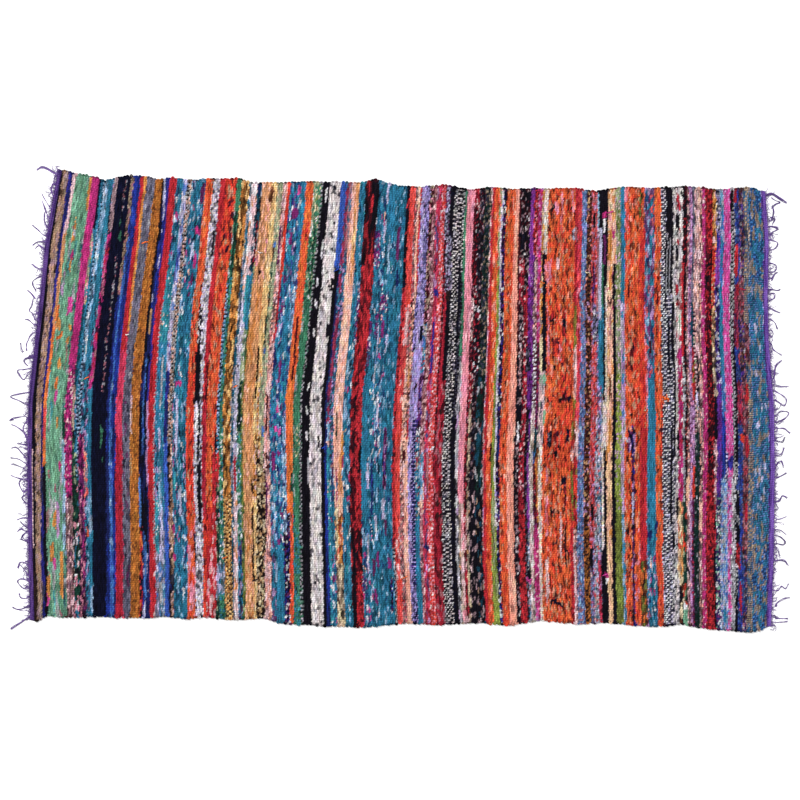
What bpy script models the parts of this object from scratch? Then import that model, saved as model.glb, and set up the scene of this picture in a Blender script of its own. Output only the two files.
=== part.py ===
"""A rag rug laid flat: the woven cloth, and at each end a heading of yarn with its warp fringe.

X runs along the rug, across its stripes, Y runs along the stripes, and Z is up. The underside lies on z = 0.
A place on the cloth is given by s, its distance along the mid-line, and by y. The stripes lean and bow, so a
place's x is s plus the lean of the stripe there. The tables are in millimetres, as a maker's sheet would be.
"""

import random

import bmesh
import bpy
import numpy as np
from mathutils import Vector

MM = 0.001

# Driving dimensions, in millimetres
LEFT_END, RIGHT_END = -748.0, 742.0  # the outer edges of the headings on the mid-line
HEADING_WIDTH = 9.0
PIECE_GAP = 0.3  # between the cloth and a heading
RIB_PITCH = 12.0  # two rows of rag
CROWN_HEIGHT, GROOVE_HEIGHT = 6.3, 4.7  # of the ribs
RIB_UNEVEN, RIB_SEED = 0.25, 7
SELVEDGE_HEIGHT, SELVEDGE_DEPTH = 3.4, 4.0  # the rounded turn of the rags at the long edges
SCALLOP = 0.9  # how far each rib's turn stands out, and each groove draws in
HEADING_HEIGHT, HEADING_SHOULDER = 3.4, 2.2
HEADING_RISE, HEADING_RISE_WIDTH = 2.8, 1.5  # its height just inside the outer edge
STRAND_HEIGHT = 1.8
STRAND_TAPER = 0.62  # a strand's width at its tip, as a share of its root
STRAND_STEPS = 5
WISP_PITCH, WISP_UNEVEN = 11.0, 0.3  # the short ends between the long strands
WISP_WIDTH, WISP_NARROWING, WISP_STEPS = 2.0, 0.2, 2
WISP_REACH, WISP_DRIFT, WISP_BOW = (6.0, 13.0), 4.0, 1.0
FRINGE_SEEDS = {"left": 11, "right": 12}
CLEARANCE = 1.6  # the least space between two strands

# How far a stripe stands off its mid-line place at these y: a row for each guide stripe
LEAN_AT = (470, 320, 220, 120, 0, -120, -300, -470)
LEAN = (
    # s, then the lean in mm at each y of LEAN_AT
    (-748, 60, 34, 24, 13, 0, -2, 0, 4),
    (-614, 54, 36, 23, 11, 0, -1, 0, -1),
    (-404, 31, 20, 11, 4, 0, -3, -3, -4),
    (-194, 42, 29, 21, 12, 0, -1, 1, 3),
    (16, 26, 17, 15, 9, 0, -6, -6, -1),
    (226, 11, 5, 3, 3, 0, -6, -6, 0),
    (436, 1, 1, -1, -1, 0, -3, -3, -1),
    (646, -3, -3, -6, -5, 0, 0, -3, -1),
    (742, -20, -10, -12, -10, 0, 2, 0, -6),
)

# The long edges: s and y of each place where the edge turns
UPPER_EDGE = (
    (-748, 466), (-716, 458), (-664, 449), (-648, 441), (-630, 446), (-600, 453), (-558, 450),
    (-526, 444), (-500, 448), (-462, 443), (-402, 446), (-360, 446), (-334, 438), (-287, 438),
    (-249, 440), (-118, 438), (-86, 445), (-63, 437), (-30, 431), (12, 429), (60, 433),
    (120, 423), (162, 429), (206, 425), (343, 427), (384, 420), (440, 430), (498, 427),
    (569, 430), (641, 424), (706, 428), (742, 422),
)
LOWER_EDGE = (
    (-748, -434), (-735, -437), (-712, -424), (-683, -428), (-622, -426), (-510, -429),
    (-472, -426), (-428, -431), (-398, -427), (-340, -433), (-281, -429), (-243, -440),
    (-144, -446), (-72, -447), (-32, -443), (9, -440), (68, -443), (158, -438), (208, -445),
    (278, -434), (358, -442), (400, -438), (498, -447), (558, -442), (620, -451),
    (700, -458), (742, -447),
)

# The long strands, from the upper edge down: where a strand leaves the heading, how far it reaches out,
# how far its tip drifts up (+) or down (-), how far its middle bows up or down, and its width at the root
LEFT_STRANDS = (
    # root y, reach, drift, bow, width
    (436, 10, -16, 6, 2.2), (414, 12, -14, 5, 2.2), (388, 20, 24, -6, 2.4), (360, 16, 28, -7, 2.4),
    (334, 27, 21, 3, 2.4), (318, 24, -5, 8, 2.4), (300, 19, 3, 7, 2.2), (268, 22, 13, -3, 2.6),
    (246, 17, -10, 8, 2.6), (210, 22, 17, 3, 2.4), (190, 14, -18, 6, 2.2), (150, 20, 14, 3, 2.2),
    (134, 17, -32, 10, 3.0), (92, 25, 8, -6, 2.2), (78, 22, -8, 7, 2.2), (56, 33, 6, 6, 2.4),
    (20, 34, -8, 5, 3.2), (-6, 30, 8, -4, 2.6), (-32, 34, -4, 4, 2.6), (-70, 33, 18, 4, 2.6),
    (-90, 26, 4, 5, 2.2), (-112, 32, 12, 5, 2.8), (-128, 32, 12, 3, 2.4), (-142, 34, 14, 4, 2.4),
    (-162, 34, 12, 2, 2.6), (-186, 17, -12, 7, 2.4), (-214, 12, -14, 5, 2.4), (-240, 17, 5, 3, 2.0),
    (-258, 20, -3, 5, 2.2), (-280, 13, -14, 6, 2.4), (-312, 15, -10, 5, 2.2), (-336, 24, 8, 7, 3.4),
    (-360, 26, 6, 5, 2.4), (-378, 20, -2, -6, 2.4), (-392, 22, 4, -8, 2.6), (-408, 36, -3, -5, 2.4),
)
RIGHT_STRANDS = (
    # root y, reach, drift, bow, width
    (398, 14, -14, 5, 2.4), (376, 11, -12, 4, 2.2), (352, 10, 10, -3, 2.2), (332, 19, 13, 2, 2.4),
    (306, 20, 14, -5, 2.6), (284, 13, 8, 3, 2.2), (260, 16, 10, -6, 2.4), (240, 20, 14, 3, 2.6),
    (222, 24, 2, -2, 2.6), (204, 17, 10, -3, 2.4), (186, 16, -6, 3, 2.2), (164, 19, -18, 4, 2.4),
    (136, 18, -8, 5, 2.2), (112, 23, -20, 3, 2.6), (56, 24, 24, -3, 2.6), (34, 35, -1, -1, 2.4),
    (14, 30, -10, 6, 2.6), (-6, 28, -3, -4, 2.6), (-26, 32, 5, 6, 2.6), (-52, 33, -12, 5, 2.4),
    (-78, 24, -3, -6, 2.6), (-100, 22, 2, -6, 2.4), (-134, 22, -4, 9, 2.6), (-152, 29, 8, -2, 2.4),
    (-176, 16, -6, 4, 2.2), (-196, 30, 3, 7, 2.4), (-236, 28, 8, -3, 2.6), (-256, 26, -11, 3, 2.6),
    (-276, 25, -12, 5, 2.4), (-298, 18, -14, 3, 2.4), (-324, 31, -8, 5, 2.4), (-350, 16, -12, 4, 2.2),
    (-376, 31, 6, -7, 2.8), (-404, 32, 14, -2, 3.2), (-424, 30, -1, -2, 2.2), (-438, 29, 1, -3, 2.2),
)

# The thick tails at the corners: each place along a tail as its distance out from the heading's edge,
# its y and its width there
CORNER_TAILS = {
    "left_upper": ((0, 456, 5.0), (10, 461, 5.5), (22, 468, 6.5), (32, 470, 6.5), (41, 465, 3.0)),
    "left_lower": ((0, -427, 4.0), (12, -436, 4.0), (22, -443, 6.0), (33, -450, 8.0), (38, -453, 6.0)),
    "right_upper": ((0, 414, 4.5), (12, 417, 5.0), (22, 412, 6.0), (34, 404, 7.0), (42, 399, 3.0)),
}

PURPLE = (0.135, 0.055, 0.31)
COLOURS = {"rag_cloth": (0.16, 0.27, 0.33), "heading_left": PURPLE, "heading_right": PURPLE}


def lean(s, y):
    """How far the stripe through s stands off its mid-line place at y."""
    table = np.array(LEAN, float)
    at_y = [np.interp(-y, [-v for v in LEAN_AT], row[1:]) for row in table]
    return float(np.interp(s, table[:, 0], at_y))


def edge(table, s):
    return float(np.interp(s, *np.array(table, float).T))


def place(s, y, z):
    """The point of the rug at (s, y), z above the floor, in metres."""
    return Vector((s + lean(s, y), y, z)) * MM


def new_object(name, bm, collection):
    """Makes bm a named object with its own material."""
    bmesh.ops.recalc_face_normals(bm, faces=bm.faces)
    mesh = bpy.data.meshes.new(name)
    bm.to_mesh(mesh)
    bm.free()
    material = bpy.data.materials.new(name)
    material.use_nodes = True
    shader = material.node_tree.nodes["Principled BSDF"]
    shader.inputs["Base Color"].default_value = (*COLOURS[name], 1.0)
    shader.inputs["Roughness"].default_value = 0.9
    shader.inputs["Metallic"].default_value = 0.0
    mesh.materials.append(material)
    obj = bpy.data.objects.new(name, mesh)
    collection.objects.link(obj)
    return obj


# The cloth


def cloth_rows(low, high):
    """The rows of points across the cloth between its edges at low and high, each as its y and the height
    there as a share of a rib's."""
    turned = SELVEDGE_HEIGHT / CROWN_HEIGHT
    rows = [(low, turned), (low + SELVEDGE_DEPTH, 1.0)]
    rows += [(y, 1.0) for y in LEAN_AT[-2:0:-1]]
    return rows + [(high - SELVEDGE_DEPTH, 1.0), (high, turned)]


def cloth(collection):
    """The cloth: a ribbed face on a flat underside, with rounded, scalloped long edges."""
    start = LEFT_END + HEADING_WIDTH
    end = RIGHT_END - HEADING_WIDTH
    ribs = round((end - start) / RIB_PITCH)
    last = len(LEAN_AT) + 1  # the cloth's last row
    rng = random.Random(RIB_SEED)
    crowns = [CROWN_HEIGHT + rng.uniform(-RIB_UNEVEN, RIB_UNEVEN) for _ in range(ribs)]
    bm = bmesh.new()
    bmesh.ops.create_grid(bm, x_segments=2 * ribs, y_segments=last, size=0.5)
    for v in bm.verts:
        column = round((v.co.x + 0.5) * 2 * ribs)
        row = round((v.co.y + 0.5) * last)
        s = start + (end - start) * column / (2 * ribs)
        crown = column % 2 == 1
        turn = SCALLOP if crown else -SCALLOP
        low, high = edge(LOWER_EDGE, s) - turn, edge(UPPER_EDGE, s) + turn
        y, height = cloth_rows(low, high)[row]
        v.co = place(s, y, height * (crowns[column // 2] if crown else GROOVE_HEIGHT))
    rim = [e for e in bm.edges if e.is_boundary]
    walls = bmesh.ops.extrude_edge_only(bm, edges=rim)["geom"]
    for v in walls:
        if isinstance(v, bmesh.types.BMVert):
            v.co.z = 0.0
    bmesh.ops.edgeloop_fill(bm, edges=[e for e in bm.edges if e.is_boundary])
    return new_object("rag_cloth", bm, collection)


# The headings and their fringe


def bowed(root, reach, drift, bow, steps):
    """Points of one strand, (distance out, y), from the heading's edge to its tip."""
    shares = [k / steps for k in range(1, steps + 1)]
    return [(reach * t, root + drift * t + 4 * bow * t * (1 - t)) for t in shares]


def strand(root, reach, drift, bow, width):
    """A long strand as its sections, (distance out, y, width)."""
    points = bowed(root, reach, drift, bow, STRAND_STEPS)
    narrowing = (1 - STRAND_TAPER) / STRAND_STEPS
    sections = [(d, y, width * (1 - narrowing * (k + 1))) for k, (d, y) in enumerate(points)]
    return [(0.0, root, width)] + sections


def clear_of(sections, others):
    """Whether a strand keeps its distance from all the others."""
    for other in others:
        for d, y, width in sections:
            for (d0, y0, w0), (d1, y1, w1) in zip(other, other[1:]):
                start, along = Vector((d0, y0)), Vector((d1 - d0, y1 - y0))
                share = min(max((Vector((d, y)) - start).dot(along) / along.length_squared, 0.0), 1.0)
                apart = (Vector((d, y)) - start - along * share).length
                if apart < CLEARANCE + (width + max(w0, w1)) / 2:
                    return False
    return True


def short_end(y, rng):
    """A short end of warp as its sections, (distance out, y, width)."""
    reach, drift = rng.uniform(*WISP_REACH), rng.uniform(-WISP_DRIFT, WISP_DRIFT)
    sections = [(0.0, y, WISP_WIDTH)]
    for d, at in bowed(y, reach, drift, WISP_BOW, WISP_STEPS):
        sections.append((d, at, WISP_WIDTH * (1 - WISP_NARROWING * d / WISP_REACH[1])))
    return sections


def all_strands(table, tails, side):
    """The long strands, the corner tails, and short ends wherever there is room between them."""
    strands = [strand(*row) for row in table] + [list(CORNER_TAILS[tail]) for tail in tails]
    outer = LEFT_END if side == "left" else RIGHT_END
    rng = random.Random(FRINGE_SEEDS[side])
    y = edge(LOWER_EDGE, outer) + WISP_PITCH / 2
    while y < edge(UPPER_EDGE, outer) - WISP_PITCH / 2:
        wisp = short_end(y, rng)
        if clear_of(wisp, strands):
            strands.append(wisp)
        y += WISP_PITCH * rng.uniform(1 - WISP_UNEVEN, 1 + WISP_UNEVEN)
    return sorted(strands, key=lambda sections: sections[0][1])


def across(sections, k):
    """The direction across a strand at its section k, in the plane of the floor."""
    here = Vector(sections[k][:2])
    ahead = Vector(sections[min(k + 1, len(sections) - 1)][:2])
    behind = Vector(sections[max(k - 1, 0)][:2])
    along = (ahead - here if k == 0 else here - behind).normalized()
    if 0 < k < len(sections) - 1:
        along = (along + (ahead - here).normalized()).normalized()
    return Vector((-along.y, along.x))


def heading(name, side, strands, collection):
    """A heading, swept along the rug's end, whose outer wall is drawn out into the strands. side is -1 for
    the left end and 1 for the right."""
    outer = LEFT_END if side < 0 else RIGHT_END
    inner = outer - side * (HEADING_WIDTH - PIECE_GAP)
    low = edge(LOWER_EDGE, outer)
    high = edge(UPPER_EDGE, outer)
    profile = (
        # s, z round the heading, from the floor at its outer edge
        (outer, 0.0),
        (outer, STRAND_HEIGHT),
        (outer - side * HEADING_RISE_WIDTH, HEADING_RISE),
        ((outer + inner) / 2, HEADING_HEIGHT),
        (inner, HEADING_SHOULDER),
        (inner, 0.0),
    )
    roots = [sections[0] for sections in strands]
    stations = [low] + [y + sign * width / 2 for _, y, width in roots for sign in (-1, 1)] + [high]
    bm = bmesh.new()
    rings = [[bm.verts.new(place(s, y, z)) for s, z in profile] for y in stations]
    count = len(profile)
    walls = []
    for near, far in zip(rings, rings[1:]):
        for k in range(count):
            face = bm.faces.new((near[k], near[(k + 1) % count], far[(k + 1) % count], far[k]))
            if k == 0:
                walls.append((face, (near[0], far[0], far[1], near[1])))
    bm.faces.new(rings[0])
    bm.faces.new(reversed(rings[-1]))
    for number, sections in enumerate(strands):
        face, corners = walls[2 * number + 1]
        for k in range(1, len(sections)):
            distance, y, width = sections[k]
            out = across(sections, k) * width / 2
            ring = []
            for sign, z in ((-1, 0.0), (1, 0.0), (1, STRAND_HEIGHT), (-1, STRAND_HEIGHT)):
                d, at = distance + sign * out.x, y + sign * out.y
                base = outer + lean(outer, sections[0][1])
                ring.append(bm.verts.new(Vector((base + side * d, at, z)) * MM))
            for c in range(4):
                bm.faces.new((corners[c], corners[(c + 1) % 4], ring[(c + 1) % 4], ring[c]))
            corners = ring
        bm.faces.remove(face)
        bm.faces.new(corners)
    return new_object(name, bm, collection)


def centre_on_floor(objects):
    """Puts the middle of the rug's box over the origin, with its underside on the floor."""
    corners = np.array([v.co for o in objects for v in o.data.vertices])
    middle = (corners.min(axis=0) + corners.max(axis=0)) / 2
    for o in objects:
        for v in o.data.vertices:
            v.co.x -= middle[0]
            v.co.y -= middle[1]


def main():
    for o in list(bpy.data.objects):
        bpy.data.objects.remove(o, do_unlink=True)
    collection = bpy.data.collections.new("rag_rug")
    bpy.context.scene.collection.children.link(collection)
    left = all_strands(LEFT_STRANDS, ("left_upper", "left_lower"), "left")
    right = all_strands(RIGHT_STRANDS, ("right_upper",), "right")
    centre_on_floor(
        [
            cloth(collection),
            heading("heading_left", -1, left, collection),
            heading("heading_right", 1, right, collection),
        ]
    )


main()
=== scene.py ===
"""A hand-woven rag rug laid flat on a pale floor, seen from straight above.

X runs along the rug, across its stripes, Y runs along the stripes, and Z is up. A place on the rug is given
by s, its distance along the mid-line, and by y. The stripes lean and bow, so a place's x is s plus the lean
of the stripe there. The tables are in millimetres, as a weaver's sheet would be. The meshes are in metres.
"""

import random

import bpy
import numpy as np
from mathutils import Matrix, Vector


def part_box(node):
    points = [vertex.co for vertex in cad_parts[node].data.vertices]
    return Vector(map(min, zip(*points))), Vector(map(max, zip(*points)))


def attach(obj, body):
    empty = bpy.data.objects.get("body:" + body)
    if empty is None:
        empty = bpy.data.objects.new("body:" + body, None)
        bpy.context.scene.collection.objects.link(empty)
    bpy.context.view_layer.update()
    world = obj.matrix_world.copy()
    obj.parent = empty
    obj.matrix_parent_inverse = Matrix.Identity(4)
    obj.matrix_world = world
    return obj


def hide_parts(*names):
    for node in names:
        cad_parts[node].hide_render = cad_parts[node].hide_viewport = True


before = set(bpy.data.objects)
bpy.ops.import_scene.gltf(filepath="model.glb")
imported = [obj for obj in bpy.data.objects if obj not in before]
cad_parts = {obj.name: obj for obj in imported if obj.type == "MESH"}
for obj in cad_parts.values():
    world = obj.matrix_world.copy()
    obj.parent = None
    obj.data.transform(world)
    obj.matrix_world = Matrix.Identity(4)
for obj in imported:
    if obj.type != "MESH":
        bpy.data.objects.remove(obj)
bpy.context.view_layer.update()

MM = 0.001

# Driving dimensions, in millimetres
LEFT_END, RIGHT_END = -748.0, 742.0  # the outer edges of the headings on the mid-line
HEADING_WIDTH = 9.0
PIECE_GAP = 0.3  # between the cloth and a heading
CLOTH_START, CLOTH_END = LEFT_END + HEADING_WIDTH, RIGHT_END - HEADING_WIDTH
CLOTH_FLOATS = 246  # in each warp's column, end to end: the places where the rag lies over that warp
WARPS = 204
STRIPS = 4  # the cloth is woven in this many meshes, side by side
ROW = 6.0  # the chart's unit along the rug

# How far a stripe stands off its mid-line place at these y: a row for each guide stripe
LEAN_AT = (470, 320, 220, 120, 0, -120, -300, -470)
LEAN = (
    # s, then the lean in mm at each y of LEAN_AT
    (-748, 60, 34, 24, 13, 0, -2, 0, 4),
    (-614, 54, 36, 23, 11, 0, -1, 2, 2),
    (-404, 34, 22, 12, 4, 0, -3, -1, -2),
    (-194, 42, 29, 21, 12, 0, -1, 1, 3),
    (16, 28, 19, 16, 9, 0, -6, -6, 1),
    (226, 11, 5, 3, 3, 0, -6, -6, 0),
    (436, 1, 1, -1, -1, 0, -3, -2, 1),
    (646, -3, -3, -6, -5, 0, 0, -3, -1),
    (742, -20, -10, -12, -10, 0, 2, 0, -6),
)

# The long edges: s and y of each place where the edge turns
UPPER_EDGE = (
    (-748, 466), (-716, 458), (-664, 449), (-648, 441), (-630, 446), (-600, 453), (-558, 450),
    (-526, 444), (-500, 448), (-462, 443), (-402, 446), (-360, 446), (-334, 438), (-287, 438),
    (-249, 440), (-118, 438), (-86, 445), (-63, 437), (-30, 431), (12, 429), (60, 433),
    (120, 423), (162, 429), (206, 425), (343, 427), (384, 420), (440, 430), (498, 427),
    (569, 430), (641, 424), (706, 428), (742, 422),
)
LOWER_EDGE = (
    (-748, -434), (-735, -437), (-712, -424), (-683, -428), (-622, -426), (-510, -429),
    (-472, -426), (-428, -431), (-398, -427), (-340, -433), (-281, -429), (-243, -440),
    (-144, -446), (-72, -447), (-32, -443), (9, -440), (68, -443), (158, -438), (208, -445),
    (278, -434), (358, -442), (400, -438), (498, -447), (558, -442), (620, -451),
    (700, -458), (742, -447),
)

# The strands seen in the fringe: each one's places as x and y, from the heading outwards or in a loop
LEFT_ROUTES = (
    ((-690, 458), (-696, 448), (-696, 436)),
    ((-698, 412), (-702, 424), (-700, 436)),
    ((-700, 384), (-706, 392), (-716, 406), (-722, 418)),
    ((-704, 360), (-708, 368), (-714, 384), (-720, 404)),
    ((-712, 352), (-716, 364), (-716, 380)),
    ((-716, 334), (-730, 346), (-740, 355)),
    ((-716, 320), (-730, 321), (-740, 314)),
    ((-716, 304), (-726, 314), (-734, 308)),
    ((-720, 266), (-732, 270), (-742, 278)),
    ((-724, 252), (-736, 246), (-740, 238), (-732, 222)),
    ((-734, 208), (-742, 218), (-750, 224)),
    ((-736, 166), (-740, 178), (-746, 184), (-742, 194), (-738, 208)),
    ((-738, 156), (-746, 164), (-754, 168)),
    ((-732, 142), (-742, 136), (-748, 126), (-752, 116), (-752, 104)),
    ((-758, 100), (-762, 106), (-764, 118)),
    ((-738, 92), (-754, 88), (-756, 82), (-750, 74)),
    ((-744, 68), (-756, 66), (-770, 64), (-766, 54), (-758, 46), (-750, 54)),
    ((-750, -4), (-768, 4), (-784, 12), (-770, 16), (-752, 20)),
    ((-750, -36), (-752, -28), (-776, -30), (-786, -36), (-778, -34)),
    ((-750, -76), (-756, -62), (-772, -48), (-782, -44)),
    ((-752, -38), (-758, -52), (-752, -70)),
    ((-750, -86), (-762, -82), (-772, -80)),
    ((-750, -114), (-762, -100), (-772, -90), (-782, -92)),
    ((-750, -124), (-766, -114), (-784, -110)),
    ((-750, -140), (-760, -130), (-782, -122)),
    ((-752, -154), (-774, -150), (-784, -146)),
    ((-750, -172), (-758, -178), (-766, -164), (-762, -154), (-752, -152)),
    ((-750, -182), (-760, -190), (-752, -202)),
    ((-752, -230), (-762, -231), (-770, -234)),
    ((-754, -248), (-764, -238)),
    ((-752, -258), (-764, -254), (-770, -258)),
    ((-750, -258), (-760, -266), (-760, -272), (-750, -278)),
    ((-748, -326), (-756, -320), (-766, -320), (-770, -330)),
    ((-748, -346), (-764, -324), (-768, -332)),
    ((-746, -358), (-762, -352), (-770, -358), (-764, -368), (-756, -372), (-748, -368)),
    ((-748, -388), (-754, -392), (-764, -390), (-767, -382)),
    ((-748, -406), (-756, -411), (-768, -414), (-780, -409)),
)
RIGHT_ROUTES = (
    ((738, 420), (746, 414), (756, 406), (760, 402)),
    ((738, 410), (746, 404), (756, 400), (746, 396), (738, 388)),
    ((738, 364), (742, 380), (740, 394)),
    ((736, 370), (744, 366), (740, 356)),
    ((736, 352), (750, 348), (740, 340), (736, 334)),
    ((736, 324), (750, 320), (746, 310), (738, 306)),
    ((736, 278), (746, 274), (748, 268), (744, 262), (736, 260)),
    ((738, 244), (744, 256), (750, 260)),
    ((734, 226), (750, 224), (756, 226)),
    ((734, 218), (744, 218), (744, 210), (734, 204)),
    ((736, 188), (744, 184), (756, 179)),
    ((736, 166), (744, 160), (750, 146)),
    ((738, 118), (742, 106), (758, 94)),
    ((742, 48), (744, 64), (748, 76), (758, 83)),
    ((742, 34), (756, 32), (772, 32)),
    ((742, 24), (746, 22), (762, 12), (768, 4), (762, -6), (748, 4)),
    ((742, -24), (748, -26), (756, -18), (768, -18), (772, -22), (764, -32), (750, -40), (742, -40)),
    ((742, -52), (748, -52), (762, -52), (774, -61)),
    ((744, -76), (754, -78), (760, -78), (764, -70)),
    ((744, -106), (754, -106), (760, -102), (762, -90)),
    ((744, -136), (750, -122), (758, -118), (762, -130)),
    ((748, -150), (758, -146), (768, -141)),
    ((746, -198), (754, -196), (760, -186), (770, -190)),
    ((744, -230), (752, -234), (768, -228)),
    ((746, -254), (756, -256), (768, -264)),
    ((746, -266), (756, -270), (764, -278), (762, -284), (748, -282)),
    ((744, -288), (750, -296), (754, -306)),
    ((744, -316), (762, -316), (772, -326)),
    ((744, -376), (752, -376), (758, -368), (766, -372), (772, -362)),
    ((746, -408), (750, -400), (762, -392), (774, -390)),
    ((746, -432), (758, -432), (770, -433)),
    ((744, -440), (756, -440), (770, -438)),
)

# The thick tails at the corners: each place along a tail as its distance out from the heading's edge,
# its y and its width there
LEFT_TAILS = (
    ((0, 456, 5.0), (10, 461, 5.5), (22, 468, 6.5), (32, 470, 6.5), (41, 465, 3.0)),
    ((0, -427, 4.0), (12, -436, 4.0), (22, -443, 6.0), (33, -450, 8.0), (38, -453, 6.0)),
)
RIGHT_TAILS = (((0, 414, 4.5), (12, 417, 5.0), (22, 412, 6.0), (34, 404, 7.0), (42, 399, 3.0)),)

# Colours, as hexadecimal red, green and blue
COLOURS = {
    "black": "201b28", "ink": "151936", "navy": "25306e", "royal": "2040a8", "cobalt": "3a66c0",
    "sky": "4c82c4", "pale_blue": "a4c2e0", "indigo": "38349a", "violet": "6a3aa4", "deep_violet": "4a2a80",
    "orchid": "a040ac", "lilac": "b0a0de", "pale_lilac": "cac4e4", "mauve": "c498c8", "grey": "807c90",
    "slate": "4c4a60", "silver": "b4b0b8", "white": "ece6ec", "off_white": "e6dcdc", "cream": "ecd8b4",
    "teal": "2c84a4", "deep_teal": "1a566c", "sea": "2a8aae", "turquoise": "3aa0ae", "mint": "84b89c",
    "dark_mint": "6a9c84", "green": "4c8c70", "dark_green": "205044", "bottle": "1c3a36", "sage": "a8b090",
    "olive": "7c8640", "lime": "a0ae50", "gold": "de9846", "ochre": "bc7628", "caramel": "dca070",
    "honey": "ce8436", "tan": "cca478", "butter": "f2c888", "beige": "b8a290", "taupe": "a8927e",
    "rosy_taupe": "b0949c", "brown": "70412a", "umber": "3c2a2a", "cocoa": "2c1a18", "peach": "ffc0aa",
    "salmon": "ffa894", "rose": "f498a8", "pink": "f09cb4", "pale_pink": "f0c8cc", "dusty": "b07480",
    "magenta": "c42684", "hot_pink": "dc4ca4", "plum": "742a68", "maroon": "581426", "crimson": "b81c3e",
    "red": "c82436", "vermilion": "e4401e", "orange": "ea6a2c", "tangerine": "f08430", "coral": "ea5450",
    "cerise": "d83a66", "fawn": "b8947e", "berry": "8e2a7c", "raspberry": "a83a60", "denim": "4a5a8c",
    "grape": "76288e", "apricot": "f8cca2", "petrol": "2c6a96", "aubergine": "2c1c54", "heather": "6c4c94",
    "bright_violet": "8c66c4", "steel": "6c8cc0", "sand": "c89c80", "mist": "a090b4",
}

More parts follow.
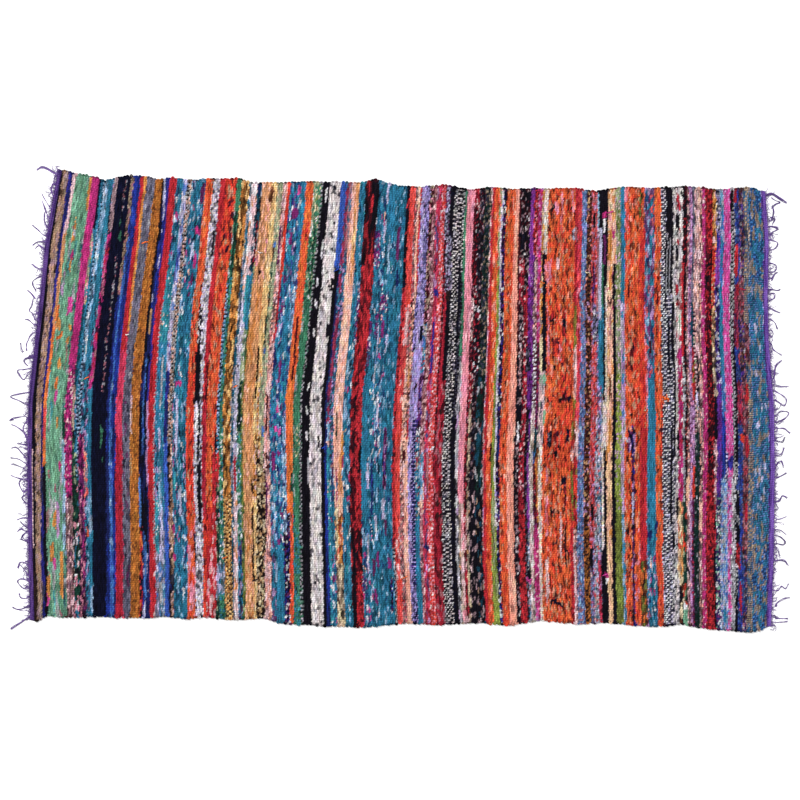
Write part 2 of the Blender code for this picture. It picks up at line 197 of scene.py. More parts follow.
# Rags: the ground, the colours printed on it with their shares, and the kind of print, as the number of its
# line in PRINT_SIZES. A ground of two colours changes from warp to warp. One of four gives those of a groove,
# a crown, the next groove and the next crown.
RAGS = {
    "blue_dusk": ("navy", "indigo .4 slate .15", 3),
    "olive_tick": ("lime", "olive .35 mauve .12 pale_pink .06", 1),
    "lav_white": ("pale_lilac", "white .15 silver .2 sky .2", 2),
    "dull_red": ("raspberry", "crimson .2 maroon .22 navy .2", 4),
    "violet_edge": ("violet", "deep_violet .35 lilac .08", 2),
    "verm_red": ("vermilion", "red .35 orange .2", 2),
    "apricot_weave": ("apricot", "peach .3 tan .06", 2),
    "lace": ("black", "fawn .14 rosy_taupe .12 deep_teal .14", 4),
    "lace_dark": ("black", "rosy_taupe .2 pale_pink .06", 4),
    "tangerine_weave": ("tangerine", "orange .3", 3),
    "leopard_zig": ("butter/black", "gold .3 brown .15", 1),
    "royal_pale": ("pale_lilac", "royal .36 sky .2 white .1", 2),
    "dusk_sky": ("sky", "navy .3 cobalt .2", 3),
    "mud": ("taupe", "umber .3 dusty .3", 1),
    "magenta_ink": ("magenta", "ink .2 dusty .14 crimson .15", 2),
    "taupe_print": ("fawn", "rosy_taupe .25 cocoa .06 taupe .2", 2),
    "rosy_print": ("fawn", "rosy_taupe .35 cocoa .1", 1),
    "mint_weave": ("mint", "turquoise .03 silver .08 dark_mint .38 dusty .04", 3),
    "mint_teal": ("dark_mint", "deep_teal .3 silver .1", 2),
    "mint_blue": ("pale_blue", "dark_mint .2 white .1", 2),
    "magenta_dash": ("magenta", "ink .2 pale_pink .12 plum .2", 1),
    "pink_leopard": ("pale_pink", "maroon .3 black .2 dusty .2 plum .12", 4),
    "lime_pink": ("sage", "pink .3 teal .2 lime .15", 2),
    "beige_print": ("beige", "black .1 pink .1", 1),
    "green_print": ("dark_green", "black .25 sage .15 pink .1", 4),
    "zebra": ("pale_blue/ink", "teal .2 black .08", 1),
    "zebra_tan": ("silver/cocoa", "peach .15 fawn .15", 1),
    "zebra_pink": ("plum", "black .3 pink .18 dusty .15", 4),
    "zebra_green": ("dark_green", "black .3 white .12 pink .1 teal .12", 4),
    "teal_white": ("pale_blue", "teal .28 ink .18 white .1", 2),
    "teal_navy": ("teal", "ink .25 pale_blue .1 mauve .12 plum .1", 4),
    "plum_print": ("plum", "magenta .2 pink .12 ink .25", 4),
    "coral_teal": ("salmon", "teal .2 coral .2", 2),
    "white_dash": ("ink", "silver .2 dusty .16 slate .15", 1),
    "green_dash": ("ink", "green .35", 2),
    "cool_royal": ("royal", "navy .5 cobalt .05", 3),
    "soft_royal": ("sky", "pale_blue .05 cobalt .45", 2),
    "lavender": ("grey", "slate .18 silver .05", 2),
    "slate_print": ("grey", "slate .4 plum .12 ink .06", 2),
    "ochre_weave": ("ochre", "gold .12 brown .12", 1),
    "blue_cloud": ("navy", "pale_lilac .3 royal .25 black .1", 3),
    "royal_cloud": ("royal", "pale_lilac .25 navy .25", 3),
    "night": ("ink", "black .3 navy .2", 3),
    "night_red": ("black", "red .3 tangerine .2 ink .2", 2),
    "red_zigzag": ("red/silver", "pale_pink .1", 1),
    "red_pale": ("red", "pale_pink .35 white .1", 2),
    "teal_busy": ("teal", "pale_blue .1 white .04 navy .14 magenta .05 deep_teal .14 peach .015", 4),
    "teal_print": ("teal", "pale_blue .06 white .03 ink .08 deep_teal .14 turquoise .08", 4),
    "teal_dash": ("teal", "deep_teal .25 pale_blue .08 navy .05", 4),
    "turq_print": ("turquoise", "white .06 teal .35 peach .02", 1),
    "sea_print": ("sea", "teal .2 pale_blue .06", 1),
    "sea_pale": ("pale_blue", "sea .35 silver .2", 2),
    "lilac_teal": ("grey", "teal .3 pale_lilac .3 sky .15", 2),
    "lilac_dash": ("pale_lilac", "royal .15 dusty .12", 1),
    "navy_print": ("navy", "indigo .3 sky .1 maroon .05", 2),
    "tan_print": ("fawn", "brown .14 pale_pink .2 cocoa .12", 1),
    "black_tan": ("black", "fawn .14 umber .2 slate .2 navy .1", 2),
    "peachy": ("orange", "peach .06 tangerine .2 vermilion .25 maroon .05", 4),
    "orange_tan": ("orange", "sand .14 vermilion .22 maroon .12", 4),
    "verm_tan": ("vermilion", "sand .06 orange .15 black .09", 4),
    "orange_pink": ("orange", "pink .2 vermilion .2 maroon .04", 2),
    "white_black": ("pale_lilac/off_white", "black .3 silver .1", 5),
    "black_white": ("black", "white .28", 1),
    "red_maroon": ("red", "maroon .15 crimson .2", 1),
    "orange_night": ("vermilion", "ink .38 sand .14 orange .12", 2),
    "red_rose": ("red", "rose .2 pale_pink .15 black .04", 2),
    "verm_dark": ("vermilion", "maroon .15 red .25", 2),
    "green_grey": ("green", "silver .15 dark_green .25 white .06", 4),
    "dark_greens": ("dark_green", "green .25 black .15", 2),
    "green_white": ("green", "white .2 teal .15 black .08", 1),
    "lilac_green": ("pale_lilac", "dark_green .3 teal .2", 2),
    "gold_leopard": ("gold", "cocoa .52 butter .18 ochre .06", 2),
    "teal_lilac": ("deep_teal", "silver .25 white .08 teal .2", 4),
    "white_amber": ("pale_pink", "gold .14 white .25 silver .1", 2),
    "white_lilac": ("pale_lilac", "silver .2 white .2 black .03", 1),
    "teal_black": ("deep_teal", "black .2 silver .3 pale_pink .2", 2),
    "grey_green": ("sage", "green .22 white .15 dark_green .14", 4),
    "forest": ("dark_green", "black .25 white .1 sage .2", 4),
    "olive_thin": ("olive", "dark_green .35 sage .15", 2),
    "caramel_pink": ("caramel", "pink .07 peach .2 brown .05", 4),
    "caramel_gold": ("caramel", "honey .4 gold .12", 3),
    "caramel_weave": ("caramel", "peach .15 honey .1 butter .1", 4),
    "butter_weave": ("butter", "cream .15 tan .15", 4),
    "butter_brown": ("gold", "pale_pink .18 cocoa .22 butter .2", 4),
    "black_amber": ("cocoa", "tan .25 black .14 cream .26", 1),
    "moss": ("dark_green", "sage .2 brown .2 black .1", 2),
    "sage_weave": ("sage", "beige .2 mint .05 cream .2", 1),
    "pink_weave": ("pale_pink", "salmon .3 maroon .22 dusty .15", 4),
    "pink_maroon": ("pale_pink", "maroon .5 salmon .15 black .08", 1),
    "blue_busy": ("sea", "navy .18 white .06 pale_blue .06 berry .05 indigo .08 mauve .03 turquoise .1", 4),
    "blue_pale": ("pale_blue", "navy .32 sea .25 white .08", 4),
    "orange_weave": ("orange", "tangerine .3 vermilion .12", 4),
    "orange_red": ("orange", "vermilion .28 peach .05", 4),
    "green_cream": ("green", "cream .15 sage .2 olive .1", 1),
    "green_dark": ("green", "dark_green .3 sage .1 white .06", 1),
    "teal_green": ("green", "teal .3 turquoise .1 dark_green .1", 1),
    "zig_black": ("silver/black", "green .15 bottle .15", 1),
    "dotted": ("off_white", "ink .1 silver .12", 5),
    "wine": ("raspberry", "plum .25 teal .12", 2),
    "wine_grey": ("dusty", "teal .3 grey .3", 2),
    "teal_slate": ("teal", "slate .2 mauve .2 navy .12 maroon .12", 1),
    "peach_weave": ("peach", "pale_pink .2 salmon .15", 4),
    "peach_gold": ("peach", "gold .3 butter .15", 3),
    "gold_wine": ("gold", "maroon .3 red .2 peach .12", 2),
    "cream_mix": ("cream", "black .2 maroon .15 beige .2", 2),
    "coal_red": ("black", "red .14 maroon .36", 3),
    "red_coal": ("red", "maroon .25 black .2", 2),
    "blood": ("maroon", "red .25 black .35", 2),
    "magenta_mix": ("berry", "white .14 navy .24 teal .26", 1),
    "red_tick": ("red", "black .18 maroon .14", 1),
    "pale_coal": ("silver/black", "white .1", 1),
    "coral_weave": ("coral", "vermilion .25", 1),
    "coral_pale": ("coral", "pale_pink .2 crimson .12", 2),
    "rose_coal": ("pale_pink", "maroon .42 black .16 crimson .22 salmon .1", 1),
    "peach_wine": ("peach", "black .2 maroon .12 pale_pink .15", 1),
    "lilac_tick": ("lilac", "ink .14 pale_lilac .25 mauve .1", 1),
    "lilac_weave": ("lilac", "mauve .15 pale_lilac .1", 1),
    "lilac_black": ("ink/lilac/ink/navy", "violet .08", 1),
    "navy_lilac": ("lilac", "ink .3 navy .2", 1),
    "dusk": ("maroon", "beige .25 pink .15 black .15", 1),
    "blue_multi": ("sea", "beige .15 ink .15 crimson .12 white .15", 1),
    "plum_night": ("plum", "ink .25 indigo .15 black .08 mauve .2", 4),
    "dusty_print": ("dusty", "pale_pink .3 maroon .25", 1),
    "blue_rose": ("pale_blue", "teal .2 peach .2 crimson .15", 2),
    "crimson_blue": ("cerise", "crimson .28 denim .14 mauve .14 maroon .1", 2),
    "red_white": ("vermilion/rose", "white .1 red .35", 1),
    "grey_lilac": ("grey/black", "pale_lilac .28 plum .15", 1),
    "crimson_grey": ("crimson", "dusty .16 maroon .2 umber .1", 2),
    "coal": ("black", "ink .2", 1),
    "coal_grey": ("black", "grey .2 slate .2", 1),
    "zebra_line": ("black/off_white/black/black", "black .12 silver .12 slate .1", 1),
    "zebra_dark": ("black/slate/black/black", "silver .15", 1),
    "white_edge": ("silver", "black .3 mauve .12 white .2", 2),
    "rose_weave": ("rose", "pale_pink .12 pink .45", 3),
    "beige_coal": ("beige", "caramel .15 black .3 pale_pink .1", 4),
    "rose_beige": ("pale_pink", "rose .3 beige .25", 2),
    "crimson_cream": ("crimson", "maroon .25 black .12 pale_pink .25", 4),
    "maroon_coal": ("maroon", "black .32 crimson .22 dusty .1", 1),
    "pink_coal": ("pale_pink", "black .4 crimson .12 dusty .15", 1),
    "cream_coal": ("beige", "cream .3 black .3", 2),
    "forest_grey": ("black", "slate .2 maroon .14 rosy_taupe .12", 1),
    "teal_coal": ("bottle", "deep_teal .2 black .2 silver .12 maroon .12", 2),
    "teal_beige": ("bottle", "taupe .2 slate .2 black .25", 1),
    "pink_edge": ("pale_pink", "red .35 mauve .1 maroon .1", 2),
    "verm_orange": ("orange", "vermilion .25 salmon .2 tangerine .1", 2),
    "olive_weave": ("lime", "sage .1 olive .45", 3),
    "lime_peach": ("sage", "salmon .35 olive .2 vermilion .1", 2),
    "white_lav": ("off_white", "pale_lilac .3 lilac .1 silver .1", 2),
    "navy_white": ("ink", "indigo .2 white .12 plum .15", 1),
    "orange_olive": ("ochre", "orange .45 vermilion .2 maroon .14 sand .1", 4),
    "salmon_weave": ("salmon", "peach .15", 3),
    "coal_white": ("black", "rosy_taupe .24 maroon .15 white .04", 1),
    "crimson_coal": ("crimson", "black .2 pale_pink .18 maroon .12", 1),
    "coal_crimson": ("black", "crimson .25 white .1 maroon .15", 1),
    "orchid_weave": ("orchid", "mauve .1 violet .2", 1),
    "violet_night": ("grape", "plum .2 black .15 orchid .15", 1),
    "violet_white": ("deep_violet", "white .2 black .2 lilac .15", 1),
    "red_night": ("red", "black .35 pink .2", 1),
    "white_zig": ("white/maroon", "silver .2 black .1", 1),
    "stone": ("off_white", "beige .3 pale_pink .25 maroon .07", 4),
    "pink_magenta": ("magenta", "crimson .3 mauve .15 hot_pink .22", 1),
    "plum_dark": ("plum", "maroon .3 crimson .12 black .1", 1),
    "gold_cream": ("gold", "cream .3 silver .15", 2),
    "white_beige": ("off_white", "pale_pink .2 cream .3 beige .1", 1),
    "white_green": ("pale_pink", "silver .2 sage .14 slate .14 mint .08", 2),
    "orange_busy": ("orange", "vermilion .22 sand .11 black .12 salmon .06 maroon .06 tangerine .06", 4),
    "orange_deep": ("vermilion", "orange .45 sand .06 black .08 maroon .04", 4),
    "brick": ("red", "vermilion .3 olive .12 maroon .15", 2),
    "brick_olive": ("ochre", "red .3 olive .25 maroon .15", 2),
    "coral_rose": ("coral", "cerise .3 crimson .25 rose .1", 2),
    "blue_weave": ("steel", "pale_blue .22 lilac .2 denim .15", 1),
    "blue_deep": ("steel", "denim .25 pale_blue .1 lilac .12 dusty .16", 1),
    "leopard": ("brown/black", "mauve .08 tan .08 salmon .07 maroon .15", 1),
    "leopard_dark": ("brown/black", "honey .28 ochre .15", 1),
    "coral_print": ("coral", "crimson .18 maroon .15 dusty .3 mauve .12", 1),
    "slate_blue": ("lilac", "maroon .16 crimson .12 teal .2 slate .15 pale_pink .12", 1),
    "lilac_mix": ("silver", "teal .15 coral .1 navy .12 maroon .14 pale_lilac .2", 1),
    "peach_mix": ("peach", "cream .25 gold .12 magenta .05 maroon .06", 2),
    "olive_pink": ("sage", "olive .35 mauve .14 pale_pink .12", 1),
    "olive_green": ("olive", "lime .3", 2),
    "sea_weave": ("sea", "teal .35 sky .06", 2),
    "lilac_blue": ("mauve", "silver .35 pale_lilac .2", 2),
    "print_orange": ("orange", "vermilion .3 black .12 sand .1 salmon .08", 4),
    "pale_orange": ("pink", "vermilion .3 orange .25", 2),
    "night_streak": ("ink", "plum .35 mauve .14 indigo .15", 2),
    "red_weave": ("red", "vermilion .12 crimson .12", 2),
    "red_white_print": ("vermilion", "white .12 maroon .15 tan .1", 1),
    "olive_brown": ("brown", "olive .25 black .2 tangerine .15", 2),
    "teal_purple": ("teal", "navy .12 plum .24 berry .14 pale_blue .08 mauve .14 coral .08", 2),
    "teal_solid": ("teal", "sea .45", 3),
    "orange_black": ("orange", "vermilion .2 black .07 sand .08", 4),
    "zebra_navy": ("ink/white/ink/slate", "pale_lilac .1 silver .05", 1),
    "black_wave": ("black", "ink .3 slate .06", 2),
    "zebra_grey": ("silver/slate", "white .35 ink .14", 1),
    "stone_fleck": ("off_white", "silver .25 black .16 slate .06", 1),
    "white_print": ("off_white", "crimson .14 black .12 silver .1", 2),
    "white_pink": ("magenta", "crimson .3 off_white .22", 2),
    "cream_gold": ("cream", "gold .3 vermilion .12 black .14 maroon .06", 2),
    "black_cream": ("black", "cream .3 brown .12", 2),
    "wine_coal": ("black", "maroon .3 red .12", 1),
    "white_grey": ("silver", "white .15 black .18 slate .2", 1),
    "green_coal": ("dark_green", "black .25 vermilion .1 sage .12", 2),
    "pale_mint": ("mint", "white .3 green .12", 2),
    "pink_lilac": ("mauve", "pink .1 plum .3", 1),
    "peach_pink": ("pale_pink", "dusty .25 maroon .25 black .16", 4),
    "slate_plain": ("grey", "slate .3 silver .15 deep_teal .1", 2),
    "peach_coal": ("pale_pink", "black .16 peach .3 dusty .2", 4),
    "mixed_mauve": ("pale_pink/black", "dusty .25 sage .1", 1),
    "bottle_weave": ("bottle", "slate .2 silver .06", 1),
    "pink_maroon2": ("pale_pink", "black .3 maroon .3 salmon .2", 4),
    "magenta_weave": ("magenta", "raspberry .3 hot_pink .08 pale_pink .08", 1),
    "red_black": ("red", "maroon .3 black .22", 1),
    "black_red": ("maroon", "black .38 red .25", 1),
    "orange_tick": ("vermilion", "tan .2 maroon .2 peach .12", 1),
    "tan_coal": ("tan", "black .25 brown .2 cream .12", 1),
    "lilac_night": ("grey/ink", "lilac .25 white .15", 1),
    "navy_zig": ("pale_lilac/navy", "mauve .1", 1),
    "violet_deep": ("grape", "violet .3 indigo .12", 2),
    "mint_night": ("navy", "mint .2 white .2 plum .2", 1),
    "blue_light": ("sky", "sea .3 cobalt .2 pale_lilac .15", 2),
    "pale_mix": ("pale_blue", "sky .25 silver .25 cobalt .12 mauve .1", 1),
    "hot_weave": ("hot_pink", "mauve .2 magenta .06", 1),
    "hot_pale": ("hot_pink", "pale_lilac .2 mauve .25 indigo .06", 1),
    "grey_tick": ("silver", "white .25 black .16", 1),
    "coal_silver": ("black", "silver .12 ink .15", 1),
    "cobalt_weave": ("denim", "royal .4 navy .2 sky .1", 1),
    "dusk_mix": ("slate", "brown .12 maroon .15 violet .1 navy .2 dusty .18 silver .06", 1),
    "maroon_mix": ("dusty", "maroon .35 slate .15 ink .14 crimson .12", 1),
    "beige_blue": ("taupe/beige/taupe/petrol", "petrol .2 slate .1", 2),
    "tan_blue": ("petrol/beige/navy/taupe", "petrol .35 taupe .2", 2),
    "teal_tan": ("petrol/sky/petrol/navy", "taupe .25 teal .25", 2),
    "blue_rush": ("petrol/steel/navy/teal", "teal .26 taupe .14 pale_lilac .06 petrol .06", 2),
}

# Stripes: where each starts at the upper edge, the middle and the lower edge, in rows of 6 mm, and its rags
# from the top down, each but the last with the y where it ends
STRIPES = (
    (1.3, 1.0, 1.2, "black -95 pale_pink -290 umber"),
    (1.8, 1.7, 2.0, "black -350 umber"),
    (2.0, 2.6, 2.6, "taupe_print 205 rosy_print -230 taupe_print"),
    (4.2, 4.4, 4.2, "blue_dusk"),
    (5.6, 5.1, 5.3, "pale_pink 340 caramel 150 tangerine -10 coral -75 tangerine -125 black"),
    (6.8, 6.0, 6.3, "mint_weave"),
    (11.6, 11.5, 11.4, "gold 385 mint_weave 320 mint_teal -20 dark_green -70 mint_blue -300 mint_teal"),
    (12.5, 12.2, 12.6, "magenta 80 magenta_dash -190 pink_leopard"),
    (15.0, 14.6, 15.0, "ink 350 lime_pink 200 deep_teal 30 beige_print -60 green_print -250 zebra_green"),
    (15.8, 15.5, 15.8, "teal 0 teal_navy -100 green_print -250 zebra_green"),
    (16.6, 16.2, 16.5, "zebra -150 zebra_green"),
    (17.1, 16.8, 17.0, "teal_white 40 zebra -60 plum_print -180 zebra_pink"),
    (18.3, 17.7, 17.8, "teal 40 teal_navy -60 plum_print -350 zebra_pink"),
    (19.7, 18.8, 18.9, "teal_navy 400 ink 345 teal_navy -100 coral_teal -185 teal_navy"),
    (20.2, 19.8, 20.0, "rosy_taupe 345 magenta_ink 30 teal -180 sea_pale -260 teal"),
    (21.3, 21.0, 21.2, "ink"),
    (23.8, 24.0, 24.6, "white_dash 370 green_dash 300 white_dash 20 ink -40 green_dash -115 ink"),
    (24.7, 24.8, 25.3, "ink"),
    (26.1, 26.2, 25.6, "mud 215 cool_royal -100 navy -280 cool_royal"),
    (27.2, 27.0, 27.0, "cool_royal 330 soft_royal"),
    (27.9, 27.7, 28.3, "cool_royal"),
    (29.6, 29.2, 28.8, "red 100 cerise -70 crimson"),
    (30.8, 31.0, 31.3, "gold 138 cerise"),
    (31.8, 31.4, 31.5, "lavender 0 slate_print"),
    (34.9, 34.0, 34.0, "ochre_weave"),
    (37.9, 37.0, 37.0, "black 185 coal 100 night -250 night_red"),
    (38.5, 38.0, 38.0, "blue_cloud 190 black 140 navy 90 dusk_sky -110 night -260 dusk_sky -330 blue_cloud"),
    (39.2, 38.6, 39.0, "royal_cloud 190 navy 100 night -300 blue_cloud -380 navy"),
    (39.8, 39.3, 40.2, "indigo 0 mauve -165 navy"),
    (40.3, 40.0, 40.5, "red"),
    (42.3, 41.8, 41.8, "red 200 red_zigzag -290 red_pale"),
    (42.9, 42.2, 42.5,
     "teal_busy 270 turq_print 120 sea_print -80 teal_navy -190 turq_print -300 lilac_teal"),
    (43.7, 43.5, 43.7, "teal_busy 270 turq_print 120 sea_print -120 sea_pale -220 lilac_teal"),
    (44.4, 44.4, 44.8, "teal_busy 350 teal_print 250 turq_print 120 sea_print -250 lilac_teal -360 sea_pale"),
    (45.2, 45.4, 45.6, "lav_white 350 royal_pale 240 lav_white 165 lilac_dash 60 navy_print -80 cobalt"),
    (46.9, 46.6, 47.0, "zebra_tan -90 black_tan -210 tan_print -290 black_tan"),
    (47.7, 47.4, 47.7, "zebra_tan -90 tan_print -330 black_tan -380 tan_print"),
    (48.5, 48.2, 48.6, "teal_busy 200 teal_print 60 teal_busy -280 teal_dash"),
    (50.2, 50.0, 50.2, "teal_print 300 teal_busy 220 teal_dash 100 teal_print -150 teal_busy -270 teal_dash"),
    (52.0, 51.6, 52.0, "teal_busy 330 teal_print 100 teal_dash -100 teal_navy -180 teal_busy -330 teal_dash"),
    (53.6, 52.7, 53.4, "peachy 300 orange_tan 60 verm_tan -230 orange_pink"),
    (56.3, 55.3, 56.2, "white_black"),
    (58.8, 58.0, 58.7, "red 120 red_maroon -10 crimson -230 verm_dark -330 verm_tan"),
    (60.5, 59.5, 59.6, "orange_night 290 orange_tan -210 verm_dark -290 red_rose"),
    (62.0, 61.6, 61.6, "orange_night 300 orange_tan -100 red_maroon -200 red_rose"),
    (64.0, 63.0, 62.7,
     "green 380 green_grey 240 zebra -110 green_print -230 forest -320 lilac_green -390 forest"),
    (64.6, 64.0, 63.8,
     "green 380 dark_greens 250 teal_green -60 green_white -320 lilac_green -380 teal_green"),
    (65.4, 65.0, 65.7, "gold_leopard -190 leopard_zig"),
    (68.1, 67.5, 68.3, "teal_lilac"),
    (69.0, 68.6, 68.7, "white_amber 220 white_lilac -180 white_amber"),
    (70.7, 69.7, 70.0, "teal_black 260 teal 150 grey_green 40 forest -60 green_white -280 teal_navy"),
    (71.9, 71.0, 71.5, "teal_black 280 grey_green 170 olive_thin"),
    (72.3, 71.5, 72.5, "caramel_pink 230 caramel_gold 30 caramel_weave"),
    (74.3, 73.6, 73.6, "caramel_pink 250 caramel_gold -130 caramel_weave"),
    (75.5, 75.0, 75.4, "butter_weave -60 butter_brown -200 butter_weave"),
    (76.5, 76.3, 75.9, "butter_weave 60 butter_brown -70 black_amber"),
    (77.2, 76.9, 76.8, "sage_weave 310 moss 120 sage_weave -60 butter_brown -110 black_amber"),
    (77.9, 77.5, 77.6, "sage_weave -110 black_amber"),
    (79.0, 78.6, 78.8, "pink_weave"),
    (80.3, 80.0, 80.6, "vermilion 250 red_maroon 120 pink_weave"),
    (81.4, 80.5, 81.0, "blue_busy -250 teal_navy"),
    (82.6, 82.4, 82.6, "blue_busy -290 teal_solid"),
    (85.2, 84.7, 85.2, "sea 300 blue_pale 140 blue_busy -30 blue_pale -260 navy_white"),
    (86.4, 85.7, 87.0, "orange_weave 60 tangerine_weave -220 orange_red"),
    (88.8, 88.2, 88.1, "grey_green 330 green_dark 190 green_grey -200 teal_green"),
    (89.6, 88.9, 88.8, "green_cream 330 green_dark 190 green -40 green_cream -110 green -250 teal_green"),
    (91.2, 90.5, 90.2, "zig_black"),
    (91.9, 91.1, 91.2, "black"),
    (94.1, 93.8, 94.0, "dotted"),
    (98.2, 97.6, 98.2, "cobalt 268 black"),
    (99.7, 98.9, 99.3, "cobalt 280 wine 268 navy -90 cool_royal"),
    (100.1, 99.4, 100.6, "wine 275 teal_slate 255 wine 215 teal_slate 175 wine -40 blue_rose -90 turq_print"),
    (101.2, 100.5, 101.4, "wine_grey 300 teal_slate -120 teal_busy"),
    (102.2, 101.8, 102.9, "peach_weave -210 cream_gold -320 cream_mix"),
    (103.4, 103.4, 103.8, "peach_gold 230 peach_weave -50 peach_gold -220 gold_wine -320 cream_mix"),
    (104.9, 104.8, 105.3, "teal_print 60 teal_busy -220 teal_print"),
    (107.1, 107.3, 108.0, "coal_red 270 red_coal 30 blood -260 coal_red"),
    (109.2, 109.3, 109.4, "coal_red 300 red_coal 30 red_tick -250 blood -340 red_tick"),
    (111.7, 111.3, 111.8, "teal_busy 340 magenta_mix 270 teal_print 60 teal_solid -210 teal_busy"),
    (113.5, 113.4, 113.4, "teal_busy 200 teal_print -200 teal_busy"),
    (115.2, 115.0, 115.0, "teal_solid 320 teal_print 200 teal_busy -120 teal_print"),
    (117.8, 117.8, 117.8, "teal_dash"),
    (121.8, 121.8, 122.4, "coal 400 red_tick 390 coal 225 red_tick -290 pale_coal"),
    (123.0, 122.9, 123.1, "coral_weave 190 coral_pale 0 coral_weave -250 coral_pale -350 coral_weave"),
    (124.8, 124.7, 124.8, "rose_coal 90 peach_wine -150 rose_coal"),
    (125.7, 125.8, 126.3, "peach_weave 220 peach_wine 90 peach_gold 30 peach_wine -100 peach_weave"),
    (126.5, 126.4, 127.0, "red 230 rose_coal -30 red_tick -70 peach_weave"),
    (127.0, 127.0, 127.9, "lilac_tick 110 lilac_weave 0 lilac_tick"),
    (128.5, 128.4, 128.7, "navy_lilac 170 lilac_weave -30 lilac_black"),
    (130.0, 129.7, 130.0, "dusk 160 blue_multi 60 plum_night -50 blue_multi -230 teal_solid"),
    (131.2, 131.0, 131.8, "dusty_print -100 blue_rose -220 dusty_print"),
    (132.5, 132.6, 132.6, "crimson_blue"),
    (134.2, 133.9, 134.2, "red_white"),
    (135.8, 135.8, 136.0, "grey_lilac 330 maroon_coal -40 red_coal -90 crimson_grey"),
    (136.6, 136.4, 136.8, "grey_lilac 220 crimson 0 crimson_grey"),
    (137.3, 137.4, 137.5, "coal 330 grey_lilac 220 coal 40 crimson_grey"),
    (138.9, 138.7, 138.9, "zebra_line"),
    (141.8, 141.2, 142.2, "zebra_line 260 zebra_dark -30 coal"),
    (142.8, 142.8, 143.8, "green 90 white_edge"),
    (143.4, 143.9, 144.7, "rose_weave -200 beige_coal"),
    (145.3, 145.0, 145.0, "rose_weave -200 rose_beige"),
    (146.1, 146.1, 146.1, "crimson_cream 390 maroon_coal 210 pink_coal 120 maroon_coal -200 crimson_cream"),
    (147.1, 147.0, 147.0, "crimson_cream 390 coal_crimson 30 cream_coal -170 beige_coal -330 cream_coal"),
    (147.9, 147.8, 147.8, "forest_grey 200 coal_crimson 60 forest_grey -150 lace_dark"),
    (150.0, 149.3, 150.2, "teal_beige 60 teal_coal -190 lace"),
    (152.2, 151.9, 152.6, "pink_edge -300 red"),
    (152.6, 152.3, 153.0, "red"),
    (153.4, 153.3, 153.7, "verm_orange"),
    (155.2, 154.9, 155.4, "lime_peach 270 olive_weave"),
    (155.9, 155.7, 157.0, "white_lav -250 olive_weave"),
    (156.5, 156.3, 157.4, "navy_white -30 navy -120 navy_white"),
    (157.8, 157.5, 158.3, "orange_olive 270 orange_busy 200 orange_olive 40 orange_busy -300 orange_deep"),
    (159.8, 159.4, 159.6, "orange_red"),
    (161.0, 160.1, 160.7, "salmon_weave"),
    (162.3, 162.4, 163.0, "maroon 340 coal 330 maroon 100 coal"),
    (162.9, 162.9, 163.4, "coal_white 290 crimson_coal 200 coal_white"),
    (164.8, 164.4, 164.4, "coal_white 220 crimson_coal -220 red_tick"),
    (166.3, 165.9, 166.7, "orchid_weave 230 violet_night -10 coal_grey"),
    (167.6, 167.1, 167.2, "red_night 300 violet_night -100 orchid_weave -250 lilac_mix"),
    (168.2, 167.7, 168.0, "red_night 290 pink_maroon 130 white_zig 0 stone"),
    (169.0, 169.0, 169.2,
     "pink_magenta 120 plum_dark -50 teal_coal -115 plum_dark -250 magenta_weave -400 hot_weave"),
    (170.3, 170.0, 170.3, "gold_cream 120 cream 60 white_green -90 gold_wine -250 magenta_weave"),
    (171.1, 170.7, 170.9, "white_beige 300 coal 65 white_green -90 white_beige"),
    (172.4, 172.0, 171.7, "orange_busy -60 orange_deep -120 orange_busy"),
    (177.0, 177.0, 177.0, "orange_busy 60 orange_deep -130 orange_busy"),
    (181.7, 181.4, 181.1,
     "red_maroon 200 brick_olive 105 pink_weave 10 brick_olive -90 pink_weave"
     " -115 brick_olive -250 red_maroon"),
    (182.6, 182.5, 182.2, "coral_rose -40 pink_weave -110 brick -250 pink_maroon"),
    (184.0, 183.7, 183.3, "blue_weave 250 blue_deep"),
    (185.5, 185.5, 185.6, "leopard -250 leopard_dark"),
    (187.3, 187.5, 187.6, "coral_print -290 slate_blue"),
    (189.3, 189.4, 188.9, "sea_pale 350 slate_blue -20 lilac_mix"),
    (189.8, 189.9, 190.4, "black 350 pale_lilac 165 teal 30 slate_blue -60 lilac_mix -300 crimson_blue"),
    (190.9, 190.9, 191.2, "black 280 green 190 teal 20 lilac_mix -150 teal_slate -300 coal_grey"),
    (191.8, 191.5, 191.4, "black 0 white_beige -300 coal"),
    (192.4, 192.1, 192.3, "black 230 white_beige -90 black"),
    (192.9, 192.8, 193.5, "peach_mix 120 peach_gold 60 peach_mix -30 peach_gold -120 apricot_weave"),
    (194.8, 194.8, 194.8, "peach_mix 275 coal"),
    (195.5, 196.0, 196.1, "olive_pink 60 olive_tick -210 olive_green"),
    (197.3, 197.6, 198.5, "sea_weave 200 lilac_blue -220 sea_pale"),
    (198.7, 199.0, 199.1, "pale_orange 350 print_orange -90 orange_busy"),
    (199.8, 199.8, 199.8, "orange_busy 300 print_orange -80 orange_busy"),
    (201.4, 201.3, 201.5, "orange_busy 60 print_orange -50 night_streak"),
    (202.2, 202.3, 202.4, "orange_busy 60 orange_deep -50 orange_busy -250 orange_pink"),
    (203.5, 203.8, 204.3, "print_orange 350 verm_red -90 red_weave -320 olive_brown"),
    (205.3, 205.8, 206.5, "teal_purple 130 pale_orange -60 teal_purple"),
    (206.0, 206.4, 206.8, "teal_purple 60 teal_solid -270 teal_busy"),
    (208.7, 209.0, 209.9, "orange_weave 350 orange_busy 20 orange_black -280 orange_deep"),
    (210.9, 211.4, 211.9, "zebra_navy"),
    (212.6, 213.0, 213.2, "black 230 zebra_navy"),
    (213.9, 214.3, 214.3, "black 220 zebra_navy"),
    (214.9, 215.3, 215.0, "stone_fleck 200 black_wave -110 zebra_grey"),
